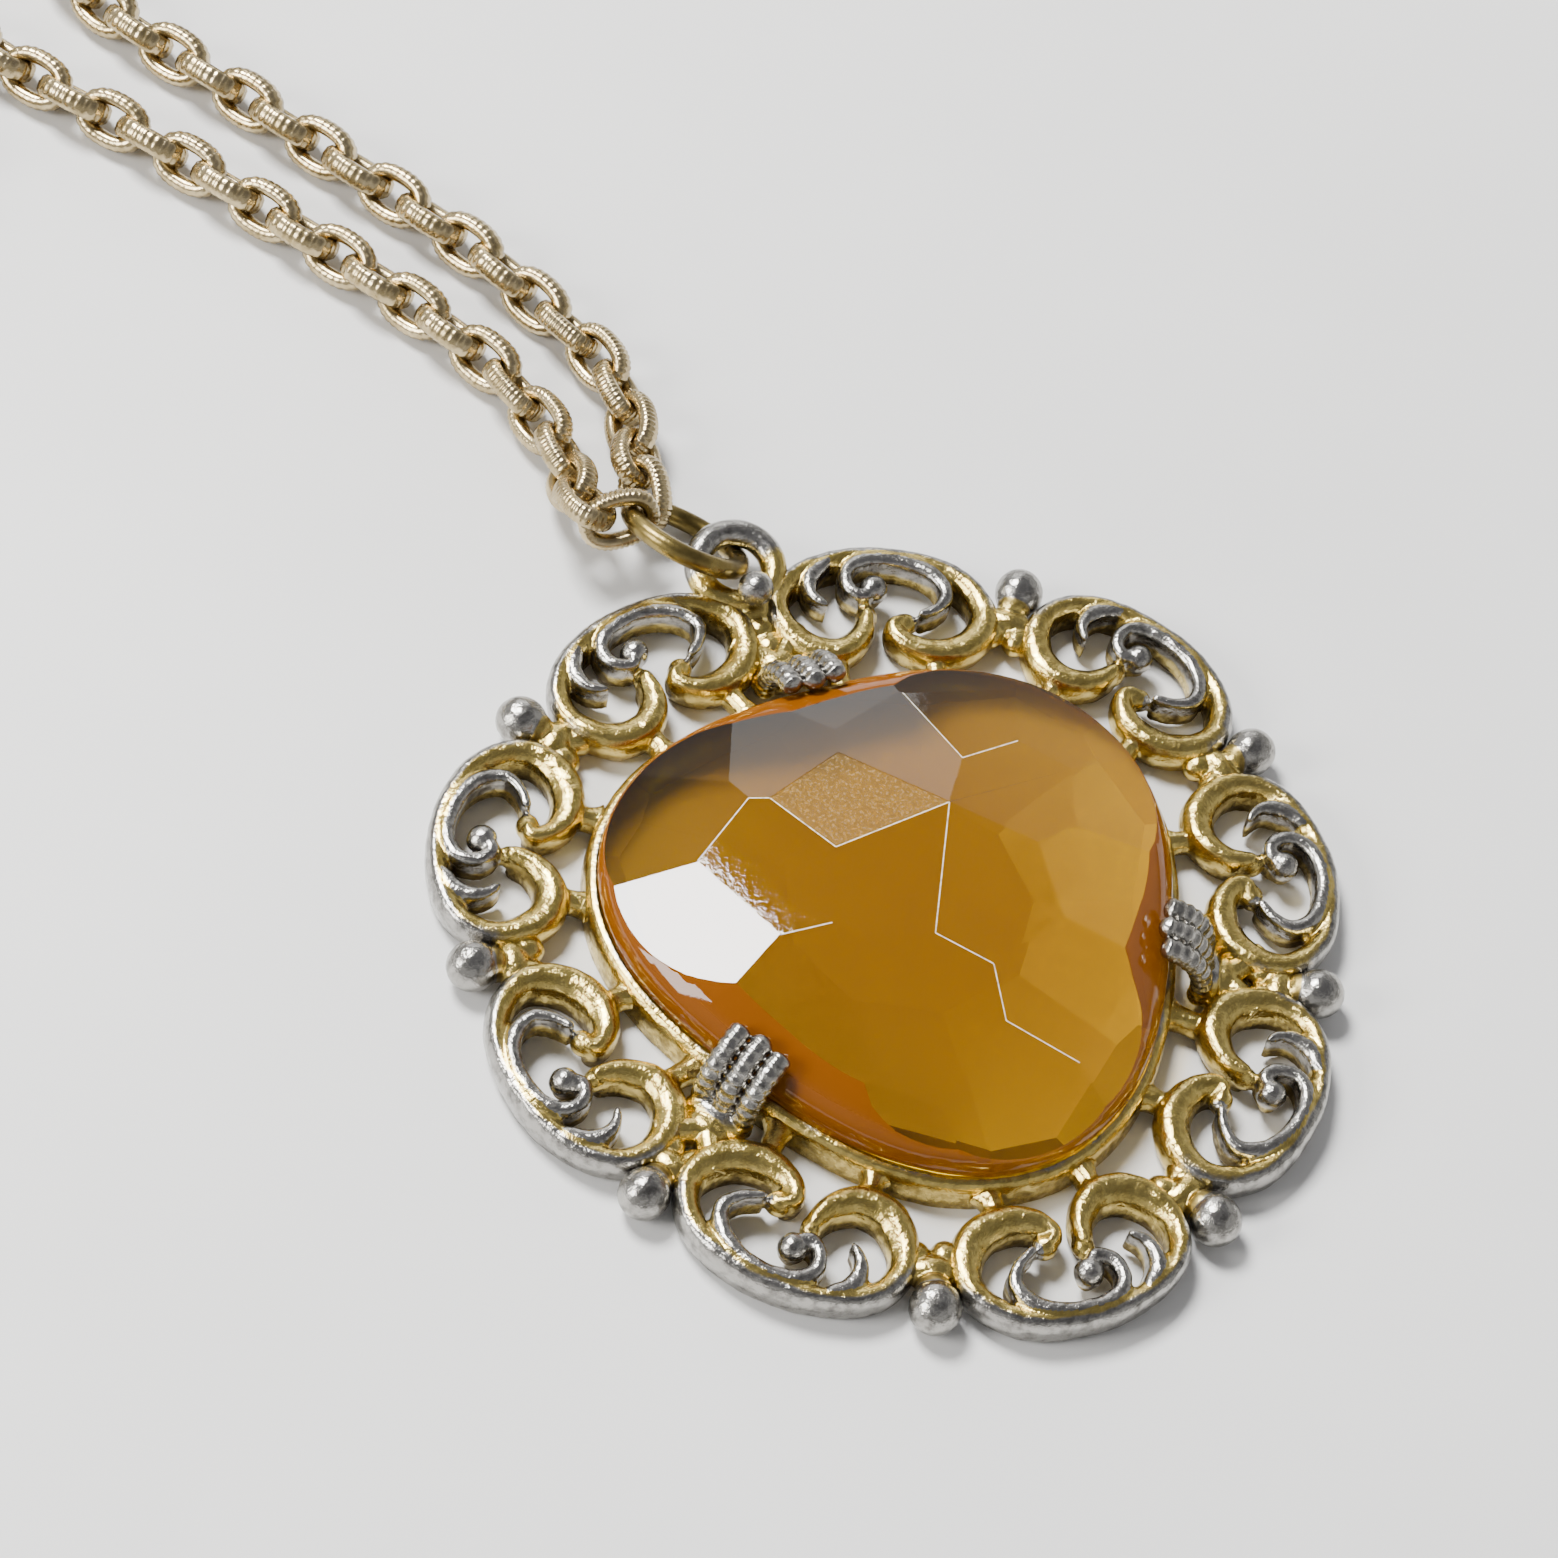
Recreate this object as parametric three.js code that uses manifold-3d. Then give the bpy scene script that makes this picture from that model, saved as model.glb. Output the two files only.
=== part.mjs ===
// A pendant necklace laid out on a table: a large faceted amber glass stone in an openwork frame of nine
// cast scrolls, hung by a bail and a jump ring on a cable chain. The chain is undone, and what is left over of
// each half is wound into a small coil that ends in the spring-ring clasp or in the ring that it hooks into.
// Millimetres. +Z points out of the pendant's front, +Y from its point towards its bail, +X to the right.
import * as THREE from "three";
import { mergeVertices } from "three/addons/utils/BufferGeometryUtils.js";
import { ConvexGeometry } from "three/addons/geometries/ConvexGeometry.js";
import Module from "manifold-3d";

const wasm = await Module();
wasm.setup();

// ---- Driving dimensions ----
const GAP = 0.12; // clearance between pieces that touch on the real casting
const SIDES = 3; // the stone and the frame are rounded triangles
const SCROLLS = 9;
const STEP = (2 * Math.PI) / SCROLLS;
const TOP = Math.PI / 2; // the bail's direction
const CORNER = Math.PI / 6; // the direction of the first corner

const RIM_RADIUS = 16.7;
const RIM_WAVE = 1.3; // how much further out the corners reach than the mean
const RIM_WIDTH = 1.0;
const RIM_HEIGHT = 2.2;

const STONE_RADIUS = 16.6; // at the girdle
const STONE_LOW = 0.8; // height of the stone's lowest point over the table
const STONE_GIRDLE = 2.6;
const STONE_EDGE = 0.6; // thickness of the girdle
const STONE_TOP = 7.5;

const SCROLL_RADIUS = 21.75; // from the pendant's middle to a scroll's middle
const SCROLL_PUSH = 1.35; // how much further out the corner scrolls sit
const SCROLL_HEIGHT = 2.3;
const LEAF_LOW = 0.5; // the inner leaves start above the table
const LEAF_HIGH = 2.5;

const BEAD_RADIUS = 1.45;
const BEAD_RING = 25; // the ring that the beads' centres lie on
const BEAD_DIP = 0.9; // the beads in the middle of a side sit this much further in
const BEAD_HEIGHT = 1.5;

const BAIL_RING = 2.35;
const BAIL_WIRE = 0.75;
const BAIL_CENTRE = new THREE.Vector3(0, 25.4, 2.2);
const BAIL_BEAD = 0.95;
const BAIL_TILT = THREE.MathUtils.degToRad(10);

const JUMP_RING = 3.6;
const JUMP_WIRE = 0.625;
const JUMP_CENTRE = new THREE.Vector3(-2.4, 27.8, 2.95);
const JUMP_HEADING = THREE.MathUtils.degToRad(123.7); // direction of the ring's far end, seen from above
const JUMP_LEAN = THREE.MathUtils.degToRad(39); // the ring's slope about that direction

const LINK_WIRE = 0.5; // radius
const LINK_LENGTH = 5;
const LINK_WIDTH = 3.6;
const LINK_PLAY = 0.08; // between the bars of two links, along the chain
const LINK_REACH = LINK_LENGTH / 2 - LINK_WIRE; // from a link's middle to the middle of its end bar
const CHAIN_HEIGHT = 1.5; // the chain's centreline over the table
const CHAIN_TUBE = 1.4; // radius of the plain tube that stands for the rest of the chain
const COIL_OUT = 18; // radius of the coiled turn's centreline where it starts
const COIL_IN = 15.8; // and where it ends
const COIL_SWEEP = THREE.MathUtils.degToRad(335);
const COIL_HEIGHT = 2.9;

const CLASP_RING = 2.65;
const CLASP_TUBE = 0.85;
const CLASP_BORE = 0.52;
const CLASP_TONGUE = 0.4;
const CLASP_MOUTH = THREE.MathUtils.degToRad(70);
const CLASP_TRAVEL = THREE.MathUtils.degToRad(50);
const SMALL_RING = 1.7;
const SMALL_WIRE = 0.35;
const EYE_RING = 0.78; // the eye that the clasp hangs by
const EYE_WIRE = 0.25;
const CLASP_HEIGHT = EYE_RING + EYE_WIRE; // of the clasp's middle over the table
const CATCH_RING = 2.25;
const CATCH_WIRE = 0.45;

// ---- Finishes ----
const finish = (color, roughness, metalness) =>
  new THREE.MeshStandardMaterial({ color, roughness, metalness });
const gold = finish(0xc9a24a, 0.32, 1);
const silver = finish(0xb9bbb8, 0.28, 1);
const bronze = finish(0x8f7a3c, 0.35, 1);
const champagne = finish(0xc9bfa2, 0.35, 1);
const amber = finish(0xc8780f, 0.05, 0);

// ---- Helpers ----
const necklace = new THREE.Group();

function add(name, geometry, material) {
  const mesh = new THREE.Mesh(geometry, material);
  mesh.name = name;
  necklace.add(mesh);
  return mesh;
}

// A closed geometry as a solid that can be joined or cut.
function solid(geometry) {
  const bare = geometry.clone();
  bare.deleteAttribute("normal");
  bare.deleteAttribute("uv");
  const merged = mergeVertices(bare, 1e-4);
  return new wasm.Manifold(
    new wasm.Mesh({
      numProp: 3,
      vertProperties: merged.attributes.position.array,
      triVerts: new Uint32Array(merged.index.array),
    }),
  );
}

function geometryOf(made) {
  const mesh = made.getMesh();
  return new THREE.BufferGeometry()
    .setAttribute("position", new THREE.BufferAttribute(mesh.vertProperties, 3))
    .setIndex(new THREE.BufferAttribute(mesh.triVerts, 1));
}

const joined = (...geometries) =>
  geometryOf(geometries.map(solid).reduce((whole, piece) => whole.add(piece)));

// The distance from the pendant's middle to a rounded triangle, in the direction `angle`.
const triangle = (radius, wave, angle) => radius + wave * Math.cos(SIDES * (angle - CORNER));

const polar = (radius, angle) =>
  new THREE.Vector2(radius * Math.cos(angle), radius * Math.sin(angle));

// A flat plate of a shape, between two heights.
function plate(shape, low, high) {
  const geometry = new THREE.ExtrudeGeometry(shape, { depth: high - low, bevelEnabled: false });
  return geometry.translate(0, 0, low);
}

// The outline of a pen stroke along a smooth line. Each knot is x, y and half the stroke's width there.
function stroke(knots, steps) {
  const line = new THREE.SplineCurve(knots.map(([x, y]) => new THREE.Vector2(x, y)));
  const left = [];
  const right = [];
  for (let i = 0; i <= steps; i++) {
    const t = i / steps;
    const place = t * (knots.length - 1);
    const k = Math.min(Math.floor(place), knots.length - 2);
    const half = THREE.MathUtils.lerp(knots[k][2], knots[k + 1][2], place - k);
    const at = line.getPoint(t);
    const along = line.getTangent(t);
    const across = new THREE.Vector2(-along.y, along.x).multiplyScalar(half);
    left.push(at.clone().add(across));
    right.push(at.clone().sub(across));
    if (i === 0) left.unshift(at.clone().addScaledVector(along, -half * 0.9));
    if (i === steps) left.push(at.clone().addScaledVector(along, half * 0.9));
  }
  return new THREE.Shape([...left, ...right.reverse()]);
}

// A closed ring of round wire along a stadium: straight sides of the given length between half circles.
function loopOfWire(length, width, wire, steps) {
  const bend = width / 2 - wire;
  const straight = length / 2 - wire - bend;
  const points = [];
  for (const end of [1, -1]) {
    for (let i = 0; i <= 4; i++) {
      const angle = -Math.PI / 2 + (i * Math.PI) / 4;
      points.push(
        new THREE.Vector3(end * (straight + bend * Math.cos(angle)), end * bend * Math.sin(angle), 0),
      );
    }
  }
  const line = new THREE.CatmullRomCurve3(points, true);
  return new THREE.TubeGeometry(line, steps, wire, 6, true);
}

const ringOfWire = (radius, wire, sides, steps) =>
  new THREE.TorusGeometry(radius, wire, sides, steps);

// Turns a geometry from its own axes to the given ones, then moves it to `place`.
function put(geometry, along, across, place) {
  const x = along.clone().normalize();
  const y = across.clone().normalize();
  const z = new THREE.Vector3().crossVectors(x, y);
  const turn = new THREE.Matrix4().makeBasis(x, y, z).setPosition(place);
  return geometry.applyMatrix4(turn);
}

// ---- The frame ----

// The band round the stone.
function rim() {
  const outline = (offset) =>
    Array.from({ length: 48 }, (_, i) => {
      const angle = (i * 2 * Math.PI) / 48;
      return polar(triangle(RIM_RADIUS + offset, RIM_WAVE, angle), angle);
    });
  const shape = new THREE.Shape(outline(RIM_WIDTH / 2));
  shape.holes.push(new THREE.Path(outline(-RIM_WIDTH / 2)));
  add("rim", plate(shape, 0, RIM_HEIGHT), gold);
}

// One scroll's lines, with x clockwise along the frame and y outwards: the heart-shaped band, the leaf that
// rolls up into a bead on the right, and the comma on the left.
const BAND = [
  [-0.85, -0.35, 0.45],
  [-1.35, -2.0, 0.7],
  [-2.6, -3.2, 0.85],
  [-4.2, -3.1, 0.85],
  [-5.4, -1.9, 0.8],
  [-5.85, -0.3, 0.75],
  [-5.4, 1.35, 0.75],
  [-4.2, 2.6, 0.7],
  [-2.3, 3.4, 0.65],
  [0, 3.65, 0.65],
  [2.3, 3.35, 0.65],
  [4.2, 2.4, 0.7],
  [5.4, 1.0, 0.75],
  [5.85, -0.5, 0.75],
  [5.3, -2.0, 0.8],
  [4.1, -3.1, 0.85],
  [2.6, -3.35, 0.85],
  [1.2, -2.7, 0.7],
  [0.6, -1.6, 0.5],
  [1.2, -1.15, 0.35],
];
const LEAF = [
  [-0.3, 1.3, 0.5],
  [-1.0, 0.6, 0.45],
  [-1.75, 1.1, 0.45],
  [-1.85, 2.2, 0.45],
  [-1.1, 3.05, 0.5],
  [0.5, 3.35, 0.55],
  [2.3, 2.9, 0.55],
  [3.55, 1.8, 0.5],
  [3.8, 0.6, 0.45],
  [3.1, -0.4, 0.35],
  [1.9, -1.05, 0.3],
];
const COMMA = [
  [-2.9, 3.2, 0.5],
  [-3.75, 2.35, 0.6],
  [-4.05, 1.3, 0.5],
  [-3.8, 0.4, 0.35],
  [-3.1, -0.3, 0.2],
];
const LEAF_BEAD = 0.85;
const STUBS = [-2.9, 2.9]; // where the two stubs to the rim leave a scroll
const STUB_WIDTH = 1.5;

const beadAngle = (k) => TOP - k * STEP;
const beadRadius = (k) => BEAD_RING - (k % SIDES === 0 ? BEAD_DIP : 0);

// The axes of scroll k, counted clockwise from the bail: the frame's outline gives its middle, and the beads
// on each side of it give its slope.
function scrollAxes(k) {
  const before = polar(beadRadius(k - 1), beadAngle(k - 1));
  const after = polar(beadRadius(k), beadAngle(k));
  const clockwise = after.clone().sub(before).normalize();
  const outwards = new THREE.Vector2(-clockwise.y, clockwise.x);
  const angle = TOP - (k - 0.5) * STEP;
  const push = SCROLL_PUSH * Math.max(0, Math.cos(SIDES * (angle - CORNER)));
  const middle = polar(SCROLL_RADIUS + push, angle);
  return { clockwise, outwards, middle };
}

// How far down its own y axis a stub at x reaches before it meets the rim.
function stubEnd({ clockwise, outwards, middle }, x) {
  let y = -SCROLL_RADIUS / 5;
  for (let i = 0; i < 20; i++) {
    const at = middle.clone().addScaledVector(clockwise, x).addScaledVector(outwards, y);
    const rimThere = triangle(RIM_RADIUS + RIM_WIDTH / 2, RIM_WAVE, at.angle());
    y += rimThere + GAP - at.length();
  }
  return y;
}

function scroll(k) {
  const axes = scrollAxes(k);
  const pieces = [
    plate(stroke(BAND, 27), 0, SCROLL_HEIGHT),
    plate(stroke(LEAF, 14), LEAF_LOW, LEAF_HIGH),
    plate(stroke(COMMA, 5), LEAF_LOW, LEAF_HIGH),
    new THREE.CylinderGeometry(LEAF_BEAD, LEAF_BEAD, LEAF_HIGH - LEAF_LOW, 9)
      .rotateX(Math.PI / 2)
      .translate(LEAF[0][0], LEAF[0][1], (LEAF_LOW + LEAF_HIGH) / 2),
  ];
  for (const x of STUBS) {
    const reach = [-STUB_WIDTH / 2, STUB_WIDTH / 2].map((side) => stubEnd(axes, x + side));
    const foot = new THREE.Shape([
      new THREE.Vector2(x - STUB_WIDTH / 2, reach[0] + GAP),
      new THREE.Vector2(x + STUB_WIDTH / 2, reach[1] + GAP),
      new THREE.Vector2(x + STUB_WIDTH / 2, -3.1),
      new THREE.Vector2(x - STUB_WIDTH / 2, -3.1),
    ]);
    pieces.push(plate(foot, 0.2, SCROLL_HEIGHT - 0.4));
  }
  const along = new THREE.Vector3(axes.clockwise.x, axes.clockwise.y, 0);
  const across = new THREE.Vector3(axes.outwards.x, axes.outwards.y, 0);
  const place = new THREE.Vector3(axes.middle.x, axes.middle.y, 0);
  let whole = solid(put(joined(...pieces), along, across, place));
  if (k === 1 || k === SCROLLS) whole = whole.subtract(solid(bailShape(GAP)));
  add(`scroll_${k}`, geometryOf(whole), gold);
}

// A drop-shaped bead between two scrolls, with its point towards the pendant's middle.
function bead(k) {
  const angle = beadAngle(k);
  const profile = [
    [0, -2.9],
    [0.3, -2.7],
    [0.45, -1.6],
    [1.05, -0.8],
    [BEAD_RADIUS, 0],
    [0.9, 0.9],
    [0, BEAD_RADIUS],
  ].map(([r, y]) => new THREE.Vector2(r, y));
  const drop = new THREE.LatheGeometry(profile, 8);
  drop.rotateZ(angle - Math.PI / 2);
  const at = polar(beadRadius(k), angle);
  add(`bead_${k}`, drop.translate(at.x, at.y, BEAD_HEIGHT), silver);
}

// ---- The bail ----
function bailShape(grown = 0) {
  const ring = ringOfWire(BAIL_RING, BAIL_WIRE + grown, 10, 20);
  ring.rotateX(BAIL_TILT);
  ring.translate(...BAIL_CENTRE.toArray());
  const neck = new THREE.BoxGeometry(1.3 + 2 * grown, 2.5, 1.8);
  neck.translate(0, 21.4, 1.0);
  return joined(ring, neck);
}

function bail() {
  add("bail_loop", bailShape(), gold);
  const drop = new THREE.SphereGeometry(BAIL_BEAD, 10, 8);
  const arc = BAIL_CENTRE.clone();
  arc.y -= BAIL_RING * Math.cos(BAIL_TILT);
  arc.z -= BAIL_RING * Math.sin(BAIL_TILT);
  drop.translate(0, arc.y - 0.3, arc.z + BAIL_WIRE + BAIL_BEAD + 0.05);
  add("bail_bead", drop, silver);
}

// ---- The stone and its claws ----
function stone() {
  const points = [];
  const level = (radius, wave, height, count, shift) => {
    for (let i = 0; i < count; i++) {
      const angle = CORNER + ((i + shift) * 2 * Math.PI) / count;
      const at = polar(triangle(radius, wave, angle), angle);
      points.push(new THREE.Vector3(at.x, at.y, height));
    }
  };
  level(8, 0.5, STONE_LOW, 12, 0);
  level(STONE_RADIUS - 1.2, RIM_WAVE, STONE_GIRDLE - 0.6, 24, 0);
  level(STONE_RADIUS, RIM_WAVE, STONE_GIRDLE, 24, 0);
  level(STONE_RADIUS, RIM_WAVE, STONE_GIRDLE + STONE_EDGE, 24, 0);
  level(STONE_RADIUS - 2.4, RIM_WAVE * 0.9, STONE_TOP - 2.6, 12, 0.5);
  level(STONE_RADIUS - 7, RIM_WAVE * 0.6, STONE_TOP - 0.9, 9, 0);
  level(4.6, 0.4, STONE_TOP, 6, 0.5);
  add("stone", new ConvexGeometry(points), amber);
}

// A claw: three cords side by side that rise outside the rim and bend in over the stone's edge.
const CLAW_WIDTH = 4.2;
const CLAW_FOOT = 2.2; // how far its foot reaches out between the scrolls
const CLAW_LINE = [
  [17.0, 0.7],
  [16.95, 2.4],
  [16.55, 3.7],
  [15.5, 4.75],
  [13.9, 5.4],
]; // distance from the pendant's middle, height
function claw(name, angle) {
  const line = new THREE.CatmullRomCurve3(CLAW_LINE.map(([r, z]) => new THREE.Vector3(0, r, z)));
  const cord = CLAW_WIDTH / 6;
  const face = (sign) =>
    [-2 * cord, 0, 2 * cord].flatMap((middle) =>
      [-0.9, -0.4, 0.4, 0.9].map(
        (s) => new THREE.Vector2(middle + s * cord, sign * cord * (0.85 - 0.4 * s * s)),
      ),
    );
  const section = new THREE.Shape([...face(-1), ...face(1).reverse()]);
  const body = new THREE.ExtrudeGeometry(section, { steps: 7, extrudePath: line });
  const foot = new THREE.BoxGeometry(2.6, CLAW_FOOT, RIM_HEIGHT - 0.4);
  foot.translate(0, CLAW_LINE[0][0] + CLAW_FOOT / 2 - 0.2, RIM_HEIGHT / 2);
  add(name, joined(body, foot).rotateZ(angle - TOP), silver);
}

// ---- The jump ring and the chain ----
const ringAlong = new THREE.Vector3(Math.cos(JUMP_HEADING), Math.sin(JUMP_HEADING), 0);
const ringSide = new THREE.Vector3(ringAlong.y, -ringAlong.x, 0);
const ringUp = ringSide
  .clone()
  .multiplyScalar(-Math.cos(JUMP_LEAN))
  .addScaledVector(new THREE.Vector3(0, 0, 1), Math.sin(JUMP_LEAN));

// The point of the jump ring's centreline at an angle from its far end, and the wire's direction there.
function onJumpRing(angle) {
  const point = JUMP_CENTRE.clone()
    .addScaledVector(ringAlong, JUMP_RING * Math.cos(angle))
    .addScaledVector(ringUp, JUMP_RING * Math.sin(angle));
  const wire = ringUp
    .clone()
    .multiplyScalar(Math.cos(angle))
    .addScaledVector(ringAlong, -Math.sin(angle));
  return { point, wire };
}

function jumpRing() {
  const ring = ringOfWire(JUMP_RING, JUMP_WIRE, 8, 24);
  add("jump_ring", put(ring, ringAlong, ringUp, JUMP_CENTRE), bronze);
}

// The places that each run of chain passes on the table, chosen by hand, from its link on the jump ring on,
// and the coil that it ends in: `turn` is 1 where the coil turns left and -1 where it turns right.
const RUNS = {
  left: {
    hook: THREE.MathUtils.degToRad(33),
    aims: [
      [-9.0, 30.2, 2.9],
      [-7.9, 33.0, 2.1],
      [-7.2, 35.6, 1.9],
      [-6.9, 38.4, 1.5],
      [-7.3, 41.4, 1.5],
      [-8.1, 44.4, 1.5],
    ],
    leans: [0, -28, 52, -45, 45, -45],
    route: [
      [-9.6, 47.2, CHAIN_HEIGHT],
      [-11.5, 50.6, CHAIN_HEIGHT],
      [-14.6, 55.6, CHAIN_HEIGHT],
      [-18.3, 61.2, CHAIN_HEIGHT],
      [-23.0, 68.0, CHAIN_HEIGHT],
      [-28.5, 75.4, CHAIN_HEIGHT],
    ],
    coil: [-50.3, 78.1],
    start: THREE.MathUtils.degToRad(36.9),
    turn: 1,
  },
  right: {
    hook: THREE.MathUtils.degToRad(-22),
    aims: [
      [-1.6, 34.6, 2.4],
      [-1.0, 37.2, 1.8],
      [-0.9, 40.2, 1.5],
      [-1.2, 43.2, 1.5],
      [-2.2, 46.0, 1.5],
      [-3.6, 48.8, 1.5],
    ],
    leans: [0, -35, 45, -45, 45, -45],
    route: [
      [-5.2, 51.8, CHAIN_HEIGHT],
      [-6.8, 54.8, CHAIN_HEIGHT],
      [-10.2, 60.4, CHAIN_HEIGHT],
      [-15.4, 68.8, CHAIN_HEIGHT],
      [-21.6, 79.0, CHAIN_HEIGHT],
    ],
    coil: [-9.5, 99.2],
    start: THREE.MathUtils.degToRad(209),
    turn: -1,
  },
};
const COIL_STEPS = 14; // points round the coiled turn
const TAIL = [
  [14.4, 20],
  [12.4, 34],
  [10.4, 46],
]; // the last points, inside the coil: distance from its middle, and degrees on from the turn's end

// The hinged links of a run: the middle of each, its own length and the direction across it. Each is aimed at a
// point of its own, and its near end sits inside the bend of the link before it. The first one hangs square to
// the jump ring's wire. The others lie on the table, leaning over to one side and the other in turn.
function linkAxes({ hook, aims, leans }) {
  const { point, wire } = onJumpRing(hook);
  const bend = LINK_WIDTH / 2 - LINK_WIRE;
  const links = [];
  aims.forEach((aim, i) => {
    const target = new THREE.Vector3(...aim);
    const before = links[i - 1];
    const at = before ? before.far.clone() : point.clone();
    const along = target.sub(at);
    if (!before) along.addScaledVector(wire, -along.dot(wire));
    along.normalize();
    let back = JUMP_WIRE + LINK_WIRE + LINK_PLAY;
    const across = new THREE.Vector3();
    if (before) {
      const pull = before.along.clone().multiplyScalar(along.dot(before.along));
      pull.addScaledVector(before.across, along.dot(before.across)).normalize();
      at.addScaledVector(before.along, -bend).addScaledVector(pull, bend);
      back = 2 * LINK_WIRE + LINK_PLAY;
      const side = new THREE.Vector3(along.y, -along.x, 0).normalize();
      const up = new THREE.Vector3().crossVectors(side, along);
      const lean = THREE.MathUtils.degToRad(leans[i]);
      across.addScaledVector(side, Math.cos(lean)).addScaledVector(up, Math.sin(lean));
    } else {
      across.crossVectors(wire, along).normalize();
    }
    const middle = at.clone().addScaledVector(along, LINK_REACH - back);
    const far = middle.clone().addScaledVector(along, LINK_REACH);
    links.push({ middle, along, across, far });
  });
  return links;
}

// The centreline of one half of the chain, from the far bar of its last hinged link to its end.
function chainLine(run) {
  const { route, coil, start, turn } = run;
  const points = [linkAxes(run).at(-1).far, ...route.map((place) => new THREE.Vector3(...place))];
  const round = (radius, angle) =>
    points.push(
      new THREE.Vector3(
        coil[0] + radius * Math.cos(start + turn * angle),
        coil[1] + radius * Math.sin(start + turn * angle),
        CHAIN_HEIGHT,
      ),
    );
  for (let i = 0; i <= COIL_STEPS; i++) {
    const share = i / COIL_STEPS;
    round(THREE.MathUtils.lerp(COIL_OUT, COIL_IN, share), COIL_SWEEP * share);
  }
  for (const [radius, degrees] of TAIL) {
    round(radius, COIL_SWEEP + THREE.MathUtils.degToRad(degrees));
  }
  return new THREE.CatmullRomCurve3(points, false, "centripetal");
}

function tube(name, line, from, to) {
  const points = [];
  const steps = Math.max(2, Math.round((to - from) / (2.2 * CHAIN_TUBE)));
  const total = line.getLength();
  for (let i = 0; i <= steps; i++) {
    points.push(line.getPointAt((from + ((to - from) * i) / steps) / total));
  }
  const section = new THREE.Shape(
    Array.from({ length: 8 }, (_, i) => polar(CHAIN_TUBE, ((i + 0.5) * Math.PI) / 4)),
  );
  const path = new THREE.CatmullRomCurve3(points, false, "centripetal");
  add(name, new THREE.ExtrudeGeometry(section, { steps, extrudePath: path }), champagne);
}

// The distance along the line at which it first passes a test on its distance from the coil's middle.
function where(line, coil, from, test) {
  const total = line.getLength();
  for (let distance = from; distance < total; distance += 0.05) {
    const at = line.getPointAt(distance / total);
    if (test(Math.hypot(at.x - coil[0], at.y - coil[1]))) return distance;
  }
  return total;
}

function chain(name) {
  const run = RUNS[name];
  const line = chainLine(run);
  linkAxes(run).forEach(({ middle, along, across }, i) => {
    const link = loopOfWire(LINK_LENGTH, LINK_WIDTH, LINK_WIRE, 12);
    add(`${name}_link_${i + 1}`, put(link, along, across, middle), champagne);
  });
  const outside = COIL_OUT + CHAIN_TUBE + 0.3;
  const inside = COIL_IN - CHAIN_TUBE - 0.1;
  const begin = LINK_WIRE + 0.4;
  const enter = where(line, run.coil, begin, (r) => r < outside + 0.3 + CHAIN_TUBE * 0.9);
  const leave = where(line, run.coil, enter + 90, (r) => r < inside - 0.3 - CHAIN_TUBE);
  tube(`${name}_chain_run`, line, begin, enter);
  const ring = [
    [inside, 0],
    [outside, 0],
    [outside, COIL_HEIGHT],
    [inside, COIL_HEIGHT],
    [inside, 0],
  ].map(([r, z]) => new THREE.Vector2(r, z));
  const coil = new THREE.LatheGeometry(ring, 30).rotateX(Math.PI / 2);
  coil.translate(run.coil[0], run.coil[1], 0);
  add(`${name}_chain_coil`, coil, champagne);
  tube(`${name}_chain_tail`, line, leave, line.getLength());
  const end = line.getPointAt(1);
  const heading = line.getTangentAt(1).setZ(0).normalize();
  return { end, heading };
}

// ---- The clasp ----

// A curved rod or pipe of a ring, from one angle to another.
function arcOfRing(radius, wire, bore, from, to, steps) {
  const points = [];
  for (let i = 0; i <= steps; i++) {
    const angle = THREE.MathUtils.lerp(from, to, i / steps);
    const at = polar(radius, angle);
    points.push(new THREE.Vector3(at.x, at.y, 0));
  }
  const circle = (size) =>
    Array.from({ length: 8 }, (_, i) => polar(size, ((i + 0.5) * Math.PI) / 4));
  const section = new THREE.Shape(circle(wire));
  if (bore) section.holes.push(new THREE.Path(circle(bore)));
  const path = new THREE.CatmullRomCurve3(points, false, "centripetal");
  return new THREE.ExtrudeGeometry(section, { steps, extrudePath: path });
}

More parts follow.
